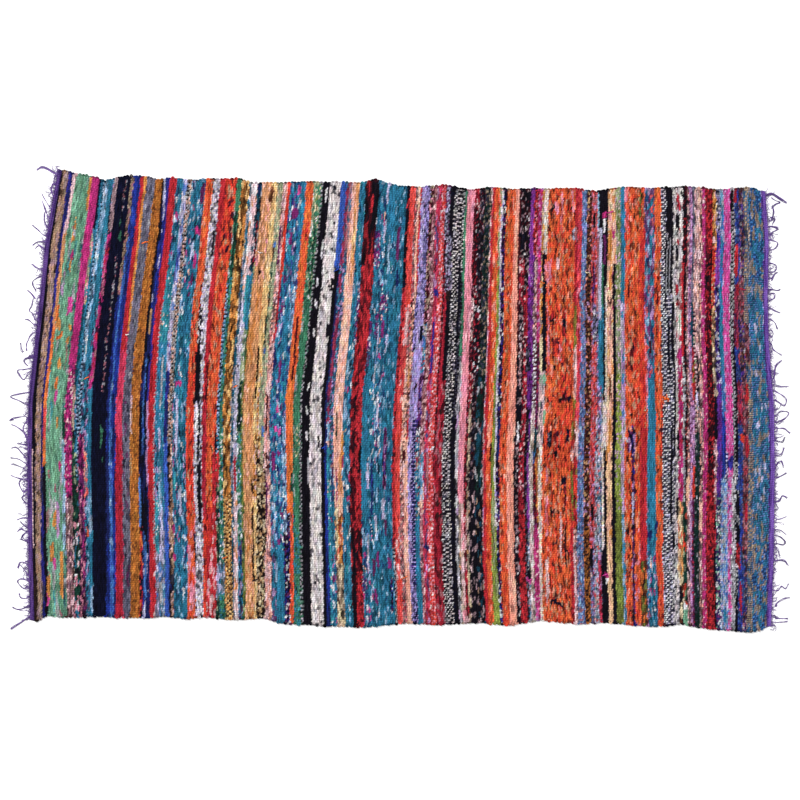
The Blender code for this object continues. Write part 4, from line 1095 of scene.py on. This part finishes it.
def patch_numbers(u, v, seed):
    """A number from 0 to 1 for each place, the same all over one small irregular patch. A patch is about one
    unit of u by one unit of v."""
    size = 512
    rng = np.random.default_rng(seed)
    stray = rng.uniform(0, 1, (2, size, size))
    value = rng.uniform(0, 1, (size, size))
    iu, iv = np.floor(u).astype(int), np.floor(v).astype(int)
    nearest = np.full(u.shape, np.inf)
    number = np.zeros(u.shape)
    for du in (-1, 0, 1):
        for dv in (-1, 0, 1):
            a, b = (iu + du) % size, (iv + dv) % size
            off = (iu + du + stray[0][a, b] - u) ** 2 + (iv + dv + stray[1][a, b] - v) ** 2
            closer = off < nearest
            nearest = np.where(closer, off, nearest)
            number = np.where(closer, value[a, b], number)
    return number


# Colours of the cloth


def linear(hex_colour):
    """A colour's red, green and blue as amounts of light."""
    srgb = np.array([int(hex_colour[k : k + 2], 16) for k in (0, 2, 4)]) / 255
    return np.where(srgb <= 0.04045, srgb / 12.92, ((srgb + 0.055) / 1.055) ** 2.4)


def chart_colours():
    """The chart's colours as the cloth has them, a little deeper and greyer than by themselves."""
    colours = np.array([linear(value) for value in COLOURS.values()]) ** DEEPER
    return colours + (colours.mean(axis=1, keepdims=True) - colours) * FADED


def rag_at(p, y):
    """The number of the rag at each place of the chart."""
    names = {name: number for number, name in enumerate(list(RAGS) + list(COLOURS))}
    rags = np.zeros(p.shape, int)
    for top, middle, bottom, words in STRIPES:
        words = words.split()
        here = p >= np.interp(-y, (-CHART_EDGE, 0, CHART_EDGE), (top, middle, bottom))
        rags[here] = names[words[0]]
        for level, rag in zip(words[1::2], words[2::2]):
            rags[here & (y < float(level))] = names[rag]
    for rag, patches in PATCHES.items():
        for first, last, high, low in patches:
            rags[(p >= first) & (p < last) & (y < high) & (y > low)] = names[rag]
    return rags


def printed(ground, flecks, kind):
    """A rag's ground at a groove, a crown and the next two, its flecks' colours and shares, and its print."""
    number = {name: k for k, name in enumerate(COLOURS)}
    grounds = ground.split("/")
    if len(grounds) < 4:
        grounds = grounds[:1] * 2 + grounds[-1:] * 2
    words = flecks.split()
    shares = list(np.cumsum([float(share) for share in words[1::2]]))
    fill = MOST_FLECKS - len(shares)
    colours = [number[name] for name in words[::2]] + [0] * fill
    return [number[name] for name in grounds], colours, shares + [0.0] * fill, kind - 1


def print_chances(kinds, s, y):
    """A number from 0 to 1 for each place, the same all over one patch of the print that its rag has."""
    skew = noise(PRINT_SKEW, s, y, CHART_SEED)
    chance = np.zeros(s.shape)
    for k, (wide, long) in enumerate(PRINT_SIZES):
        chance = np.where(kinds == k, patch_numbers((s + skew) / wide, y / long, PRINT_SEED + k), chance)
    return chance


def ground_numbers(p, s, y, r):
    """Which of its rag's four ground colours each place has. They change places from row to row."""
    rows, wide = GROUND_PATCH
    row = np.floor(p + noise(GROUND_JITTER, s, y, CHART_SEED)).astype(int)
    swap = np.floor(patch_numbers(p / rows, y / wide, GROUND_SEED) * 2).astype(int)
    return (r + 2 * ((row + swap) % 2)) % 4


def cloth_colours():
    """The colour at each upper point of the cloth, from end to end and from the lower edge to the upper."""
    cells = FLOAT_POINTS * CLOTH_FLOATS
    i, r = np.meshgrid(np.arange(cells + 1), np.arange(2 * WARPS + 1), indexing="ij")
    s = CLOTH_START + (CLOTH_END - CLOTH_START) * (i + POINT_SHIFTS[r % 4]) / cells
    y = across(s, r)
    wander = noise(EDGE_WANDER, s, y, CHART_SEED) + noise(EDGE_JITTER, s, y, CHART_SEED)
    p = (s - LEFT_END) / ROW + wander + ZIGZAG * np.sin(np.pi * r / 2)
    rags = rag_at(p, y + noise(CHANGE_JITTER, s, y, CHART_SEED))
    table = [printed(*row) for row in RAGS.values()] + [printed(name, "", 1) for name in COLOURS]
    grounds, fleck_colours, fleck_shares, kinds = (np.array(column) for column in zip(*table))
    colours = chart_colours()
    rgb = colours[grounds[rags, ground_numbers(p, s, y, r)]]
    chance = print_chances(kinds[rags], s, y)
    strength = FAINTEST + (1 - FAINTEST) * (chance * SHUFFLE % 1)
    below = np.zeros(rags.shape)
    for k in range(MOST_FLECKS):
        share = fleck_shares[rags, k]
        cover = np.where((chance >= below) & (chance < share), strength, 0)[..., None]
        rgb = rgb + (colours[fleck_colours[rags, k]] - rgb) * cover
        below = np.maximum(below, share)
    # painted shade and highlight of the rags' rows, mixed with each row's own brightness, in long streaks
    light = 1 + noise(STREAKS, s, y, CHART_SEED)
    light = light + noise(SPECKS, *apart(i, r, SPECK_STEPS), CHART_SEED)
    tint = 1 + np.stack([noise(TINTS, s, y, CHART_SEED + k) for k in range(3)], -1)
    return np.clip(rgb * light[..., None] * tint, *COLOUR_LIMITS)


def heading_colours(floats, seed, dark, pale):
    """Yarns between these two shades for each upper point of a heading."""
    dark, pale = linear(COLOURS[dark]), linear(COLOURS[pale])
    i, r = np.meshgrid(np.arange(FLOAT_POINTS * floats + 1), np.arange(2 * WARPS + 1), indexing="ij")
    mix = EVEN_MIX + noise(HEADING_STREAKS, i, r, seed)
    mix = mix + noise(HEADING_SPECKS, *apart(i, r, HEADING_STEPS), seed)
    return dark + (pale - dark) * np.clip(mix, 0, 1)[..., None]


# Woven meshes


def woven_points(start, end, floats, first, last, heights, seed):
    """The upper points of a woven strip from warp first to warp last, in rows along X: crowns of the warps'
    columns between the grooves beside them. Gives the points, the share of light that reaches each and its
    place on the laid-out cloth."""
    crown, groove = heights
    cells = FLOAT_POINTS * floats
    i, r = np.meshgrid(np.arange(cells + 1), np.arange(2 * first, 2 * last + 3), indexing="ij")
    column = (r - 1) // 2
    on_crown = r % 2 == 1
    odd = r % 4 == 3
    s = start + (end - start) / cells * (i + POINT_SHIFTS[r % 4])
    s = np.where(i == 0, start, np.where(i == cells, end, s))
    y = across(s, r)
    dip = np.where(odd, i % FLOAT_POINTS == 1, i % FLOAT_POINTS == 0)
    number = np.where(odd, (i + 2) // FLOAT_POINTS, i // FLOAT_POINTS)
    tall = noise(UNEVEN_FLOATS, *apart(number, column, FLOAT_STEPS), seed)
    tall = tall + noise(UNEVEN_POINTS, *apart(i, r, POINT_STEPS), seed)
    tall = tall + noise(UNEVEN_CLOTH, s, y)
    z = np.where(on_crown & ~dip, crown, np.where(on_crown, groove + DIP_HEIGHT, groove)) + tall
    light = np.where(on_crown & ~dip, 1.0, np.where(on_crown, DIP_LIGHT, GROOVE_LIGHT))
    flat_place = np.stack([s, y, 0 * s], -1) * MM
    turn = (r == 0) | (r == 2 * WARPS)
    near_turn = (r == 1) | (r == 2 * WARPS - 1)
    lower = z - (crown - groove) * NEAR_TURN_DROP
    z = np.where(turn, crown * TURN_HEIGHT, np.where(near_turn, lower, z))
    out = SCALLOP * np.cos(2 * np.pi * i / FLOAT_POINTS) + noise(UNEVEN_TURNS, s, r, seed)
    y = y + np.where(r == 0, -out, np.where(r == 2 * WARPS, out, 0))
    loose = np.clip(np.minimum(i, cells - i) / STRAIGHT_POINTS, 0, 1)
    s = s + noise(WOBBLE, s, y, weight=loose) + noise(FINE_WOBBLE, s, y, weight=loose)
    y = y + np.where(turn, 0, noise(SIDE_WOBBLE, s, y))
    return on_floor(s + lean(s, y), y, z), light, flat_place


def under_points(top, floats):
    """The underside's points, one to each float and groove: by turns raised and on the floor."""
    under = top[::FLOAT_POINTS, ::2].copy()
    columns = under.shape[1] - 1
    a, b = np.meshgrid(np.arange(floats + 1), np.arange(columns + 1), indexing="ij")
    inner = (a > 0) & (a < floats) & (b > 0) & (b < columns)
    under[..., 2] = np.where(inner & ((a + b) % 2 == 0), UNDER_RELIEF * MM, 0.0)
    return under


def upper_faces(grid, rows):
    """The upper side's faces from the numbers of its points, and their places on the map, in so many rows."""
    cells, lines = grid.shape[0] - 1, grid.shape[1] - 1
    i, r = np.meshgrid(np.arange(cells), np.arange(lines), indexing="ij")
    faces = np.stack([grid[i + di, r + dr] for di, dr in CORNERS], -1).reshape(-1, 4)
    per_row = -(-cells // rows)
    row = i // per_row
    band = MAP_TOP / rows
    u = np.stack([(i - row * per_row + di) / per_row for di, _ in CORNERS], -1)
    v = np.stack([(row + MAP_FILL * (r + dr) / lines) * band for _, dr in CORNERS], -1)
    return faces, np.stack([u, v], -1).reshape(-1, 2)


def under_faces(below):
    """The underside's faces from the numbers of its points, and their places on the map."""
    floats, columns = below.shape[0] - 1, below.shape[1] - 1
    a, b = np.meshgrid(np.arange(floats), np.arange(columns), indexing="ij")
    turned = CORNERS[::-1]
    faces = np.stack([below[a + da, b + db] for da, db in turned], -1).reshape(-1, 4)
    u = np.stack([(a + da) / floats for da, _ in turned], -1)
    v = np.stack([MAP_TOP + MAP_UNDER * (b + db) / columns for _, db in turned], -1)
    return faces, np.stack([u, v], -1).reshape(-1, 2)


def wall_faces(grid, below):
    """The four walls' faces, each wall a strip between a line of upper points and the lower ones beneath it,
    and their places on the map."""
    walls = (
        # upper points, lower points, steps of the upper ones to one of the lower ones, whether it is turned
        (grid[:, 0], below[:, 0], FLOAT_POINTS, False),
        (grid[:, -1], below[:, -1], FLOAT_POINTS, True),
        (grid[0], below[0], 2, True),
        (grid[-1], below[-1], 2, False),
    )
    faces, maps = [], []
    for number, (above, beneath, each, flip) in enumerate(walls):
        base = MAP_TOP + MAP_UNDER + MAP_GAP + number * MAP_WALL_STEP * MAP_WALL
        count = len(beneath) - 1
        for m in range(count):
            ring = [int(k) for k in above[m * each : m * each + each + 1]]
            ring += [int(beneath[m + 1]), int(beneath[m])]
            place = [((m + k / each) / count, base + MAP_WALL) for k in range(each + 1)]
            place += [((m + 1) / count, base), (m / count, base)]
            faces.append(tuple(ring if flip else ring[::-1]))
            maps.append(np.array(place if flip else place[::-1]))
    return faces, maps


def woven_strip(name, start, end, floats, first, last, heights, colours, seed, rows):
    """A closed mesh woven of floats, with its upper face, its underside and walls. colours are those of its
    upper points. rows is how many rows its upper face is laid out in on its map."""
    top, light, flat_place = woven_points(start, end, floats, first, last, heights, seed)
    under = under_points(top, floats)
    grid = np.arange(light.size).reshape(light.shape)
    below = grid.size + np.arange(under[..., 0].size).reshape(under.shape[:2])
    points = np.concatenate([top.reshape(-1, 3), under.reshape(-1, 3)])
    upper_tints = (colours * light[..., None]).reshape(-1, 3)
    under_tints = (colours[::FLOAT_POINTS, ::2] * UNDER_LIGHT).reshape(-1, 3)
    tints = np.concatenate([upper_tints, under_tints])
    places = np.concatenate([flat_place.reshape(-1, 3), flat_place[::FLOAT_POINTS, ::2].reshape(-1, 3)])
    upper, upper_map = upper_faces(grid, rows)
    lower, lower_map = under_faces(below)
    walls, wall_maps = wall_faces(grid, below)
    faces = [tuple(face) for face in np.concatenate([upper, lower]).tolist()] + walls
    maps = np.concatenate([upper_map, lower_map] + wall_maps)
    woven = painted_mesh(name, points, faces, tints, places, maps)
    # a wall between two strips doesn't round off the shading of the upper face beside it
    first_wall = len(upper) + len(lower)
    between = list(range(first_wall, first_wall + floats)) * (first > 0)
    between += list(range(first_wall + floats, first_wall + 2 * floats)) * (last < WARPS - 1)
    for number in between:
        woven.data.polygons[number].use_smooth = False
    return woven


def painted_mesh(name, points, faces, tints, places, maps=None):
    """A new object of these points and faces, with a colour and a place on the laid-out cloth for each point,
    and a map's place for each corner of a face."""
    mesh = bpy.data.meshes.new(name)
    mesh.from_pydata(points.tolist(), [], faces)
    paint = mesh.color_attributes.new("rag_colour", "FLOAT_COLOR", "POINT")
    paint.data.foreach_set("color", np.concatenate([tints, np.ones((len(tints), 1))], 1).ravel())
    flat = mesh.attributes.new("flat_place", "FLOAT_VECTOR", "POINT")
    flat.data.foreach_set("vector", np.asarray(places).ravel())
    if maps is not None:
        layer = mesh.uv_layers.new(name="OFBake")
        layer.uv.foreach_set("vector", np.asarray(maps, np.float32).ravel())
    mesh.shade_smooth()
    mesh.set_sharp_from_angle(angle=SHARP_ANGLE)
    mesh.update()
    obj = bpy.data.objects.new(name, mesh)
    bpy.context.scene.collection.objects.link(obj)
    return obj


# Yarns


def smooth_path(points, count):
    """count places along a smooth curve through points."""
    points = np.asarray(points, float)
    padded = np.concatenate([2 * points[:1] - points[1:2], points, 2 * points[-1:] - points[-2:-1]])
    spans = len(points) - 1
    at = np.linspace(0, spans, count)
    k = np.minimum(at.astype(int), spans - 1)
    t = (at - k)[:, None]
    a, b, c, d = padded[k], padded[k + 1], padded[k + 2], padded[k + 3]
    return 0.5 * (2 * b + (c - a) * t + (2 * a - 5 * b + 4 * c - d) * t**2 + (3 * b - a - 3 * c + d) * t**3)


def tube(points, radii, sides):
    """The points and faces of a closed tube along points, in millimetres."""
    ahead = np.roll(points, -1, 0)
    ahead[-1] = points[-1]
    behind = np.roll(points, 1, 0)
    behind[0] = points[0]
    along = ahead - behind
    beside = np.stack([-along[:, 1], along[:, 0], 0 * along[:, 0]], -1)
    shortest = 1e-6
    beside /= np.maximum(np.linalg.norm(beside, axis=1, keepdims=True), shortest)
    turn = np.arange(sides) * 2 * np.pi / sides
    ring = beside[:, None] * np.cos(turn)[None, :, None] + np.array([0, 0, 1.0]) * np.sin(turn)[None, :, None]
    skin = points[:, None] + ring * np.asarray(radii)[:, None, None]
    k, c = np.meshgrid(np.arange(len(points) - 1), np.arange(sides), indexing="ij")
    d = (c + 1) % sides
    quads = np.stack([k * sides + c, k * sides + d, (k + 1) * sides + d, (k + 1) * sides + c], -1)
    last = (len(points) - 1) * sides
    faces = [tuple(face) for face in quads.reshape(-1, 4)[:, ::-1].tolist()]
    faces.append(tuple(range(sides)))
    faces.append(tuple(range(last + sides - 1, last - 1, -1)))
    return skin.reshape(-1, 3), faces


def yarns_object(name, yarns):
    """One object of many yarns, each (points, radii, sides, colour)."""
    points, faces, tints, base = [], [], [], 0
    for path, radii, sides, colour in yarns:
        skin, quads = tube(path, radii, sides)
        points.append(skin)
        faces += [tuple(base + k for k in face) for face in quads]
        tints.append(np.tile(colour, (len(skin), 1)))
        base += len(skin)
    points = np.concatenate(points)
    return painted_mesh(name, on_floor(*points.T), faces, np.concatenate(tints), points * MM)


def tapered(radius, taper, count):
    """A yarn's radii at count places, smaller by the share taper at its end."""
    return radius * (1 - taper * np.linspace(0, 1, count))


def yarn_colour(rng, pale):
    """A purple between the yarn's own shades, mixed with the haze's by pale."""
    dark, bright, haze = (linear(COLOURS[name]) for name in YARN_SHADES)
    mixed = dark + (bright - dark) * rng.random()
    return mixed + (haze - mixed) * pale


def laid(path, radius, rng, lift, side):
    """Gives a flat path its heights: from the heading's edge down on the floor, over small humps."""
    out = side * (path[:, 0] - end_line(side, path[:, 1]))
    share = np.linspace(0, 1, len(path))
    humps = np.abs(soft_noise(share * HUMPS + rng.random() * HUMP_PLACES, HUMP_LINE, HUMP_SEED)) * lift
    z = radius * FLOOR_GAP + humps + START_RISE * np.clip(1 - out / START_REACH, 0, 1)
    return np.column_stack([path, z])


def rooted(side, places, rng):
    """A route, led into the heading at each end that comes near to it."""
    route = np.array(places, float)
    for end, before in ((0, True), (-1, False)):
        out = side * (route[end, 0] - float(end_line(side, route[end, 1])))
        if out < ROOT_REACH:
            root = (route[end, 0] - side * (out + ROOT_DEPTH), route[end, 1] + rng.gauss(0, ROOT_STRAY))
            route = np.insert(route, 0 if before else len(route), root, axis=0)
    return route


def bundle(side, places, count, spread, radius, pale, sides, rng):
    """Some yarns that follow one route loosely."""
    route = rooted(side, places, rng)
    yarns = []
    steps = PLACE_STEPS * len(route)
    for _ in range(count):
        stray = np.array([(rng.gauss(0, spread), rng.gauss(0, spread)) for _ in route])
        path = smooth_path(route + stray, steps)
        thick = radius * rng.uniform(*BUNDLE_THICKNESS)
        colour = yarn_colour(rng, rng.uniform(0, pale))
        path = laid(path, thick, rng, BUNDLE_LIFT, side)
        yarns.append((path, tapered(thick, BUNDLE_TAPER, steps), sides, colour))
    return yarns


def curly(x, y, side, length, curl, rng, steps):
    """A flat path that starts out from the heading and curls as it goes."""
    angle = rng.gauss(0, START_ANGLE)
    turning = rng.gauss(0, curl)
    stride = length / steps
    places = [(x - side * START_DEPTH, y)]
    for _ in range(steps):
        places.append((places[-1][0] + side * stride * np.cos(angle), places[-1][1] + stride * np.sin(angle)))
        angle += turning * stride + rng.gauss(0, ANGLE_JITTER)
    return np.array(places)


def strand_yarns(side, routes, rng):
    """The strands along their routes, and looser and shorter ones between them."""
    yarns = []
    for places in routes:
        yarns += bundle(side, places, ROUTE_YARNS, *ROUTE_LOOKS, rng)
    low, high = (float(edge(table, outer_edge(side))) for table in (LOWER_EDGE, UPPER_EDGE))
    for _ in range(LOOSE_STRANDS):
        y = rng.uniform(low, high)
        length = rng.uniform(*LOOSE_LENGTHS)
        path = curly(float(end_line(side, y)), y, side, length, LOOSE_CURL, rng, LOOSE_STEPS)
        yarns += bundle(side, path, LOOSE_YARNS, *LOOSE_LOOKS, rng)
    return yarns


def short_yarns(side, rng):
    """The warp's short ends: thin ones at every warp, and a haze of finer hairs between them."""
    low, high = (edge(table, outer_edge(side)) for table in (LOWER_EDGE, UPPER_EDGE))
    yarns = []
    for number in range(WARPS):
        for count, lengths, radius, curl, steps, sides, pale in SHORT_YARNS:
            for _ in range(count):
                y = low + (high - low) * (number + rng.random()) / WARPS
                x = float(end_line(side, y))
                path = curly(x, y, side, rng.uniform(*lengths), curl, rng, steps)
                radii = tapered(radius * rng.uniform(*SHORT_THICKNESS), SHORT_TAPER, len(path))
                colour = yarn_colour(rng, rng.uniform(pale - SHORT_PALENESS, pale + SHORT_PALENESS))
                yarns.append((laid(path, radius, rng, SHORT_LIFT, side), radii, sides, colour))
    return yarns


def tail_yarns(side, tails, rng):
    """Each thick tail at a corner as a bundle of yarns."""
    yarns = []
    for tail in tails:
        start = float(end_line(side, tail[0][1]))
        for _ in range(TAIL_YARNS):
            share = rng.uniform(-0.5, 0.5)
            places = []
            for out, y, width in tail:
                x = start + side * out + rng.uniform(-TAIL_STRAY[0], TAIL_STRAY[0])
                y = y + share * width * TAIL_FILL + rng.uniform(-TAIL_STRAY[1], TAIL_STRAY[1])
                places.append((x, y))
            path = smooth_path(places, TAIL_STEPS)
            radius = rng.uniform(*TAIL_RADII)
            heights = laid(path, radius, rng, TAIL_LIFT, side)
            heights[:, 2] += rng.uniform(0, TAIL_HEIGHT)
            colour = yarn_colour(rng, rng.uniform(0, TAIL_PALENESS))
            yarns.append((heights, tapered(radius, TAIL_TAPER, TAIL_STEPS), TAIL_SIDES, colour))
    return yarns


def cloth_colour_at(colours, s, y):
    """The colour of the cloth's nearest upper point."""
    low, high = float(edge(LOWER_EDGE, s)), float(edge(UPPER_EDGE, s))
    i = round((s - CLOTH_START) / (CLOTH_END - CLOTH_START) * (len(colours) - 1))
    r = round((y - low) / (high - low) * (colours.shape[1] - 1))
    return colours[min(max(i, 0), len(colours) - 1), min(max(r, 0), colours.shape[1] - 1)]


def edge_turns(colours, rng):
    """The turns where rags come out at a long edge and go back in, which make the edge knobbly."""
    yarns = []
    for table, outward in ((LOWER_EDGE, -1), (UPPER_EDGE, 1)):
        s = CLOTH_START + TURN_MARGIN
        while s < CLOTH_END - TURN_MARGIN:
            rim = float(edge(table, s))
            reach = rng.uniform(*TURN_REACHES)
            reach += (rng.random() < BIG_TURNS) * rng.uniform(*BIG_REACHES)
            half = rng.uniform(*TURN_HALVES)
            places = []
            for along, out in TURN_LOOP:
                y = rim + outward * (out * reach if out > 0 else out)
                places.append((s + half * along + float(lean(s, y)), y, TURN_LEVEL))
            thick = rng.uniform(*TURN_RADII)
            path = np.array(places) + (0, 0, rng.uniform(-TURN_LEVEL_STRAY, TURN_LEVEL_STRAY))
            # painted shade: a turn gets a darker share of the colour of the cloth beside it
            colour = cloth_colour_at(colours, s, rim) * rng.uniform(*TURN_PAINTED_SHADES)
            yarns.append((path, np.full(len(path), thick), TURN_SIDES, colour))
            s += rng.uniform(*TURN_STEPS)
    return yarns


def rag_ends(rng):
    """The rags' ends and knots that stand out of the cloth, each bent over and pressed down at its ends."""
    yarns = []
    for name, width, start, end in ENDS:
        places = []
        for t in ENDS_PLACES:
            p, y = (a + (b - a) * t for a, b in zip(start, end))
            s = LEFT_END + p * ROW
            sway = rng.uniform(-ENDS_SWAY, ENDS_SWAY)
            arch = ENDS_ARCH * np.sin(np.pi * t)
            places.append((s + float(lean(s, y)) + sway, y + sway, ENDS_LEVEL + arch))
        path = smooth_path(places, ENDS_STEPS)
        swell = np.sin(np.pi * np.linspace(*ENDS_ROUND, ENDS_STEPS))
        radii = width / 2 * (ENDS_THIN + (1 - ENDS_THIN) * swell)
        yarns.append((path, radii, ENDS_SIDES, linear(COLOURS[name]) * rng.uniform(*ENDS_SHADES)))
    return yarns


# Materials


def node(tree, kind, **values):
    """A node of this kind whose inputs of these names have these values."""
    new = tree.nodes.new(kind)
    for name, value in values.items():
        new.inputs[name.replace("_", " ")].default_value = value
    return new


def attribute(tree, name):
    """A node that reads this attribute of the mesh."""
    new = tree.nodes.new("ShaderNodeAttribute")
    new.attribute_name = name
    return new


def cotton(name, sheen, streak_size, shades, bump):
    """Matt cotton in the colours painted on its mesh, with painted shade and painted highlight in fine
    streaks of this size in mm, which also stand in relief: a streak is painted lighter where its relief
    stands higher."""
    material = bpy.data.materials.new(name)
    material.use_nodes = True
    tree = material.node_tree
    link = tree.links.new
    shader = tree.nodes["Principled BSDF"]
    shader.inputs["Roughness"].default_value = COTTON_ROUGHNESS
    shader.inputs["Specular IOR Level"].default_value = COTTON_SPECULAR
    shader.inputs["Sheen Weight"].default_value = sheen
    shader.inputs["Sheen Roughness"].default_value = SHEEN_ROUGHNESS
    place = attribute(tree, "flat_place")
    stretch = node(tree, "ShaderNodeMapping", Scale=[1 / (size * MM) for size in streak_size])
    link(place.outputs["Vector"], stretch.inputs["Vector"])
    streaks = node(tree, "ShaderNodeTexNoise", Scale=1.0, Detail=STREAK_DETAIL, Roughness=STREAK_ROUGHNESS)
    link(stretch.outputs["Vector"], streaks.inputs["Vector"])
    # painted shade and highlight: the streaks darken the colour where their relief is low and lighten it
    # where it is high
    (least, most), (dark, light) = STREAK_RANGE, shades
    shade = node(tree, "ShaderNodeMapRange", From_Min=least, From_Max=most, To_Min=dark, To_Max=light)
    link(streaks.outputs["Fac"], shade.inputs["Value"])
    paint = attribute(tree, "rag_colour")
    colour = tree.nodes.new("ShaderNodeVectorMath")
    colour.operation = "SCALE"
    link(paint.outputs["Color"], colour.inputs[0])
    link(shade.outputs["Result"], colour.inputs["Scale"])
    link(colour.outputs["Vector"], shader.inputs["Base Color"])
    relief = node(tree, "ShaderNodeBump", Strength=BUMP_STRENGTH, Distance=bump * MM)
    link(streaks.outputs["Fac"], relief.inputs["Height"])
    link(relief.outputs["Normal"], shader.inputs["Normal"])
    return material


# The scene


def make_floor():
    """A wide pale floor."""
    bpy.ops.mesh.primitive_plane_add(size=FLOOR_SIZE)
    floor = bpy.context.object
    floor.name = "floor"
    material = bpy.data.materials.new("floor_paper")
    material.use_nodes = True
    shader = material.node_tree.nodes["Principled BSDF"]
    shader.inputs["Base Color"].default_value = FLOOR_COLOUR
    shader.inputs["Roughness"].default_value = FLOOR_ROUGHNESS
    shader.inputs["Specular IOR Level"].default_value = FLOOR_SPECULAR
    floor.data.materials.append(material)


def make_light():
    """A pale room with two wide soft lights, both aimed at the rug."""
    world = bpy.data.worlds.new("pale_room")
    world.use_nodes = True
    background = world.node_tree.nodes["Background"]
    background.inputs["Color"].default_value = WORLD_COLOUR
    background.inputs["Strength"].default_value = WORLD_STRENGTH
    bpy.context.scene.world = world
    for name, place, size, power in LIGHTS:
        data = bpy.data.lights.new(name, "AREA")
        data.shape = "DISK"
        data.size = size
        data.energy = power
        lamp = bpy.data.objects.new(name, data)
        lamp.location = place
        direction = -lamp.location
        lamp.rotation_euler = direction.to_track_quat("-Z", "Y").to_euler()
        bpy.context.scene.collection.objects.link(lamp)


def make_camera():
    """A camera that looks straight down, and sees the photo's stretch of floor."""
    data = bpy.data.cameras.new("camera")
    data.sensor_width = SENSOR
    data.lens = SENSOR * CAMERA_HEIGHT / PHOTO_WIDTH
    camera = bpy.data.objects.new("camera", data)
    x, y = ((PHOTO_CENTRE[k] + SHIFT[k]) * MM for k in (0, 1))
    camera.location = (x, y, CAMERA_HEIGHT)
    bpy.context.scene.collection.objects.link(camera)
    bpy.context.scene.camera = camera
    bpy.context.scene.view_settings.view_transform = "Standard"


def finish_piece(piece, slot, material, *nodes):
    """Gives a piece its material and its body, and hides the solids that it replaces. slot is not used."""
    piece.data.materials.append(material)
    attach(piece, "root")
    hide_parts(*nodes)


def make_cloth(material):
    """The cloth in its strips, and the turns and ends of rags that belong to it."""
    colours = cloth_colours()
    strips = []
    for number in range(STRIPS):
        first = number * WARPS // STRIPS
        last = (number + 1) * WARPS // STRIPS - 1
        strip = woven_strip(
            f"cloth_strip_{number + 1}",
            CLOTH_START,
            CLOTH_END,
            CLOTH_FLOATS,
            first,
            last,
            CLOTH_HEIGHTS,
            colours[:, 2 * first : 2 * last + 3],
            CLOTH_SEED + STRIP_SEED_STEP * number,
            CLOTH_MAP_ROWS,
        )
        finish_piece(strip, "rag_weave", material, "rag_cloth")
        strips.append(strip)
    rng = random.Random(ENDS_SEED)
    turns = yarns_object("edge_turns", edge_turns(colours, rng))
    ends = yarns_object("rag_ends", rag_ends(rng))
    for piece in (turns, ends):
        finish_piece(piece, "rag_weave", material, "rag_cloth")
    return strips, [turns, ends]


def make_end(side, name, shades, routes, tails, material):
    """The heading at one end with its fringe."""
    outer = outer_edge(side)
    inner = outer - side * (HEADING_WIDTH - PIECE_GAP)
    seed = HEADING_SEED + side
    band = woven_strip(
        f"{name}_weave",
        min(outer, inner),
        max(outer, inner),
        HEADING_ROWS,
        0,
        WARPS - 1,
        HEADING_HEIGHTS,
        heading_colours(HEADING_ROWS, seed, *shades),
        seed,
        HEADING_MAP_ROWS,
    )
    finish_piece(band, "warp_yarn", material, name)
    rng = random.Random(seed)
    yarns = strand_yarns(side, routes, rng) + short_yarns(side, rng) + tail_yarns(side, tails, rng)
    fringe = yarns_object(f"{name}_fringe", yarns)
    finish_piece(fringe, "warp_yarn", material, name)
    return [band, fringe]


def main():
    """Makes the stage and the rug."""
    make_camera()
    make_floor()
    make_light()
    rag = cotton("rag_cotton", *RAG_COTTON)
    yarn = cotton("purple_yarn", *YARN_COTTON)
    strips, trim = make_cloth(rag)
    trim += make_end(-1, "heading_left", LEFT_SHADES, LEFT_ROUTES, LEFT_TAILS, yarn)
    trim += make_end(1, "heading_right", RIGHT_SHADES, RIGHT_ROUTES, RIGHT_TAILS, yarn)


main()
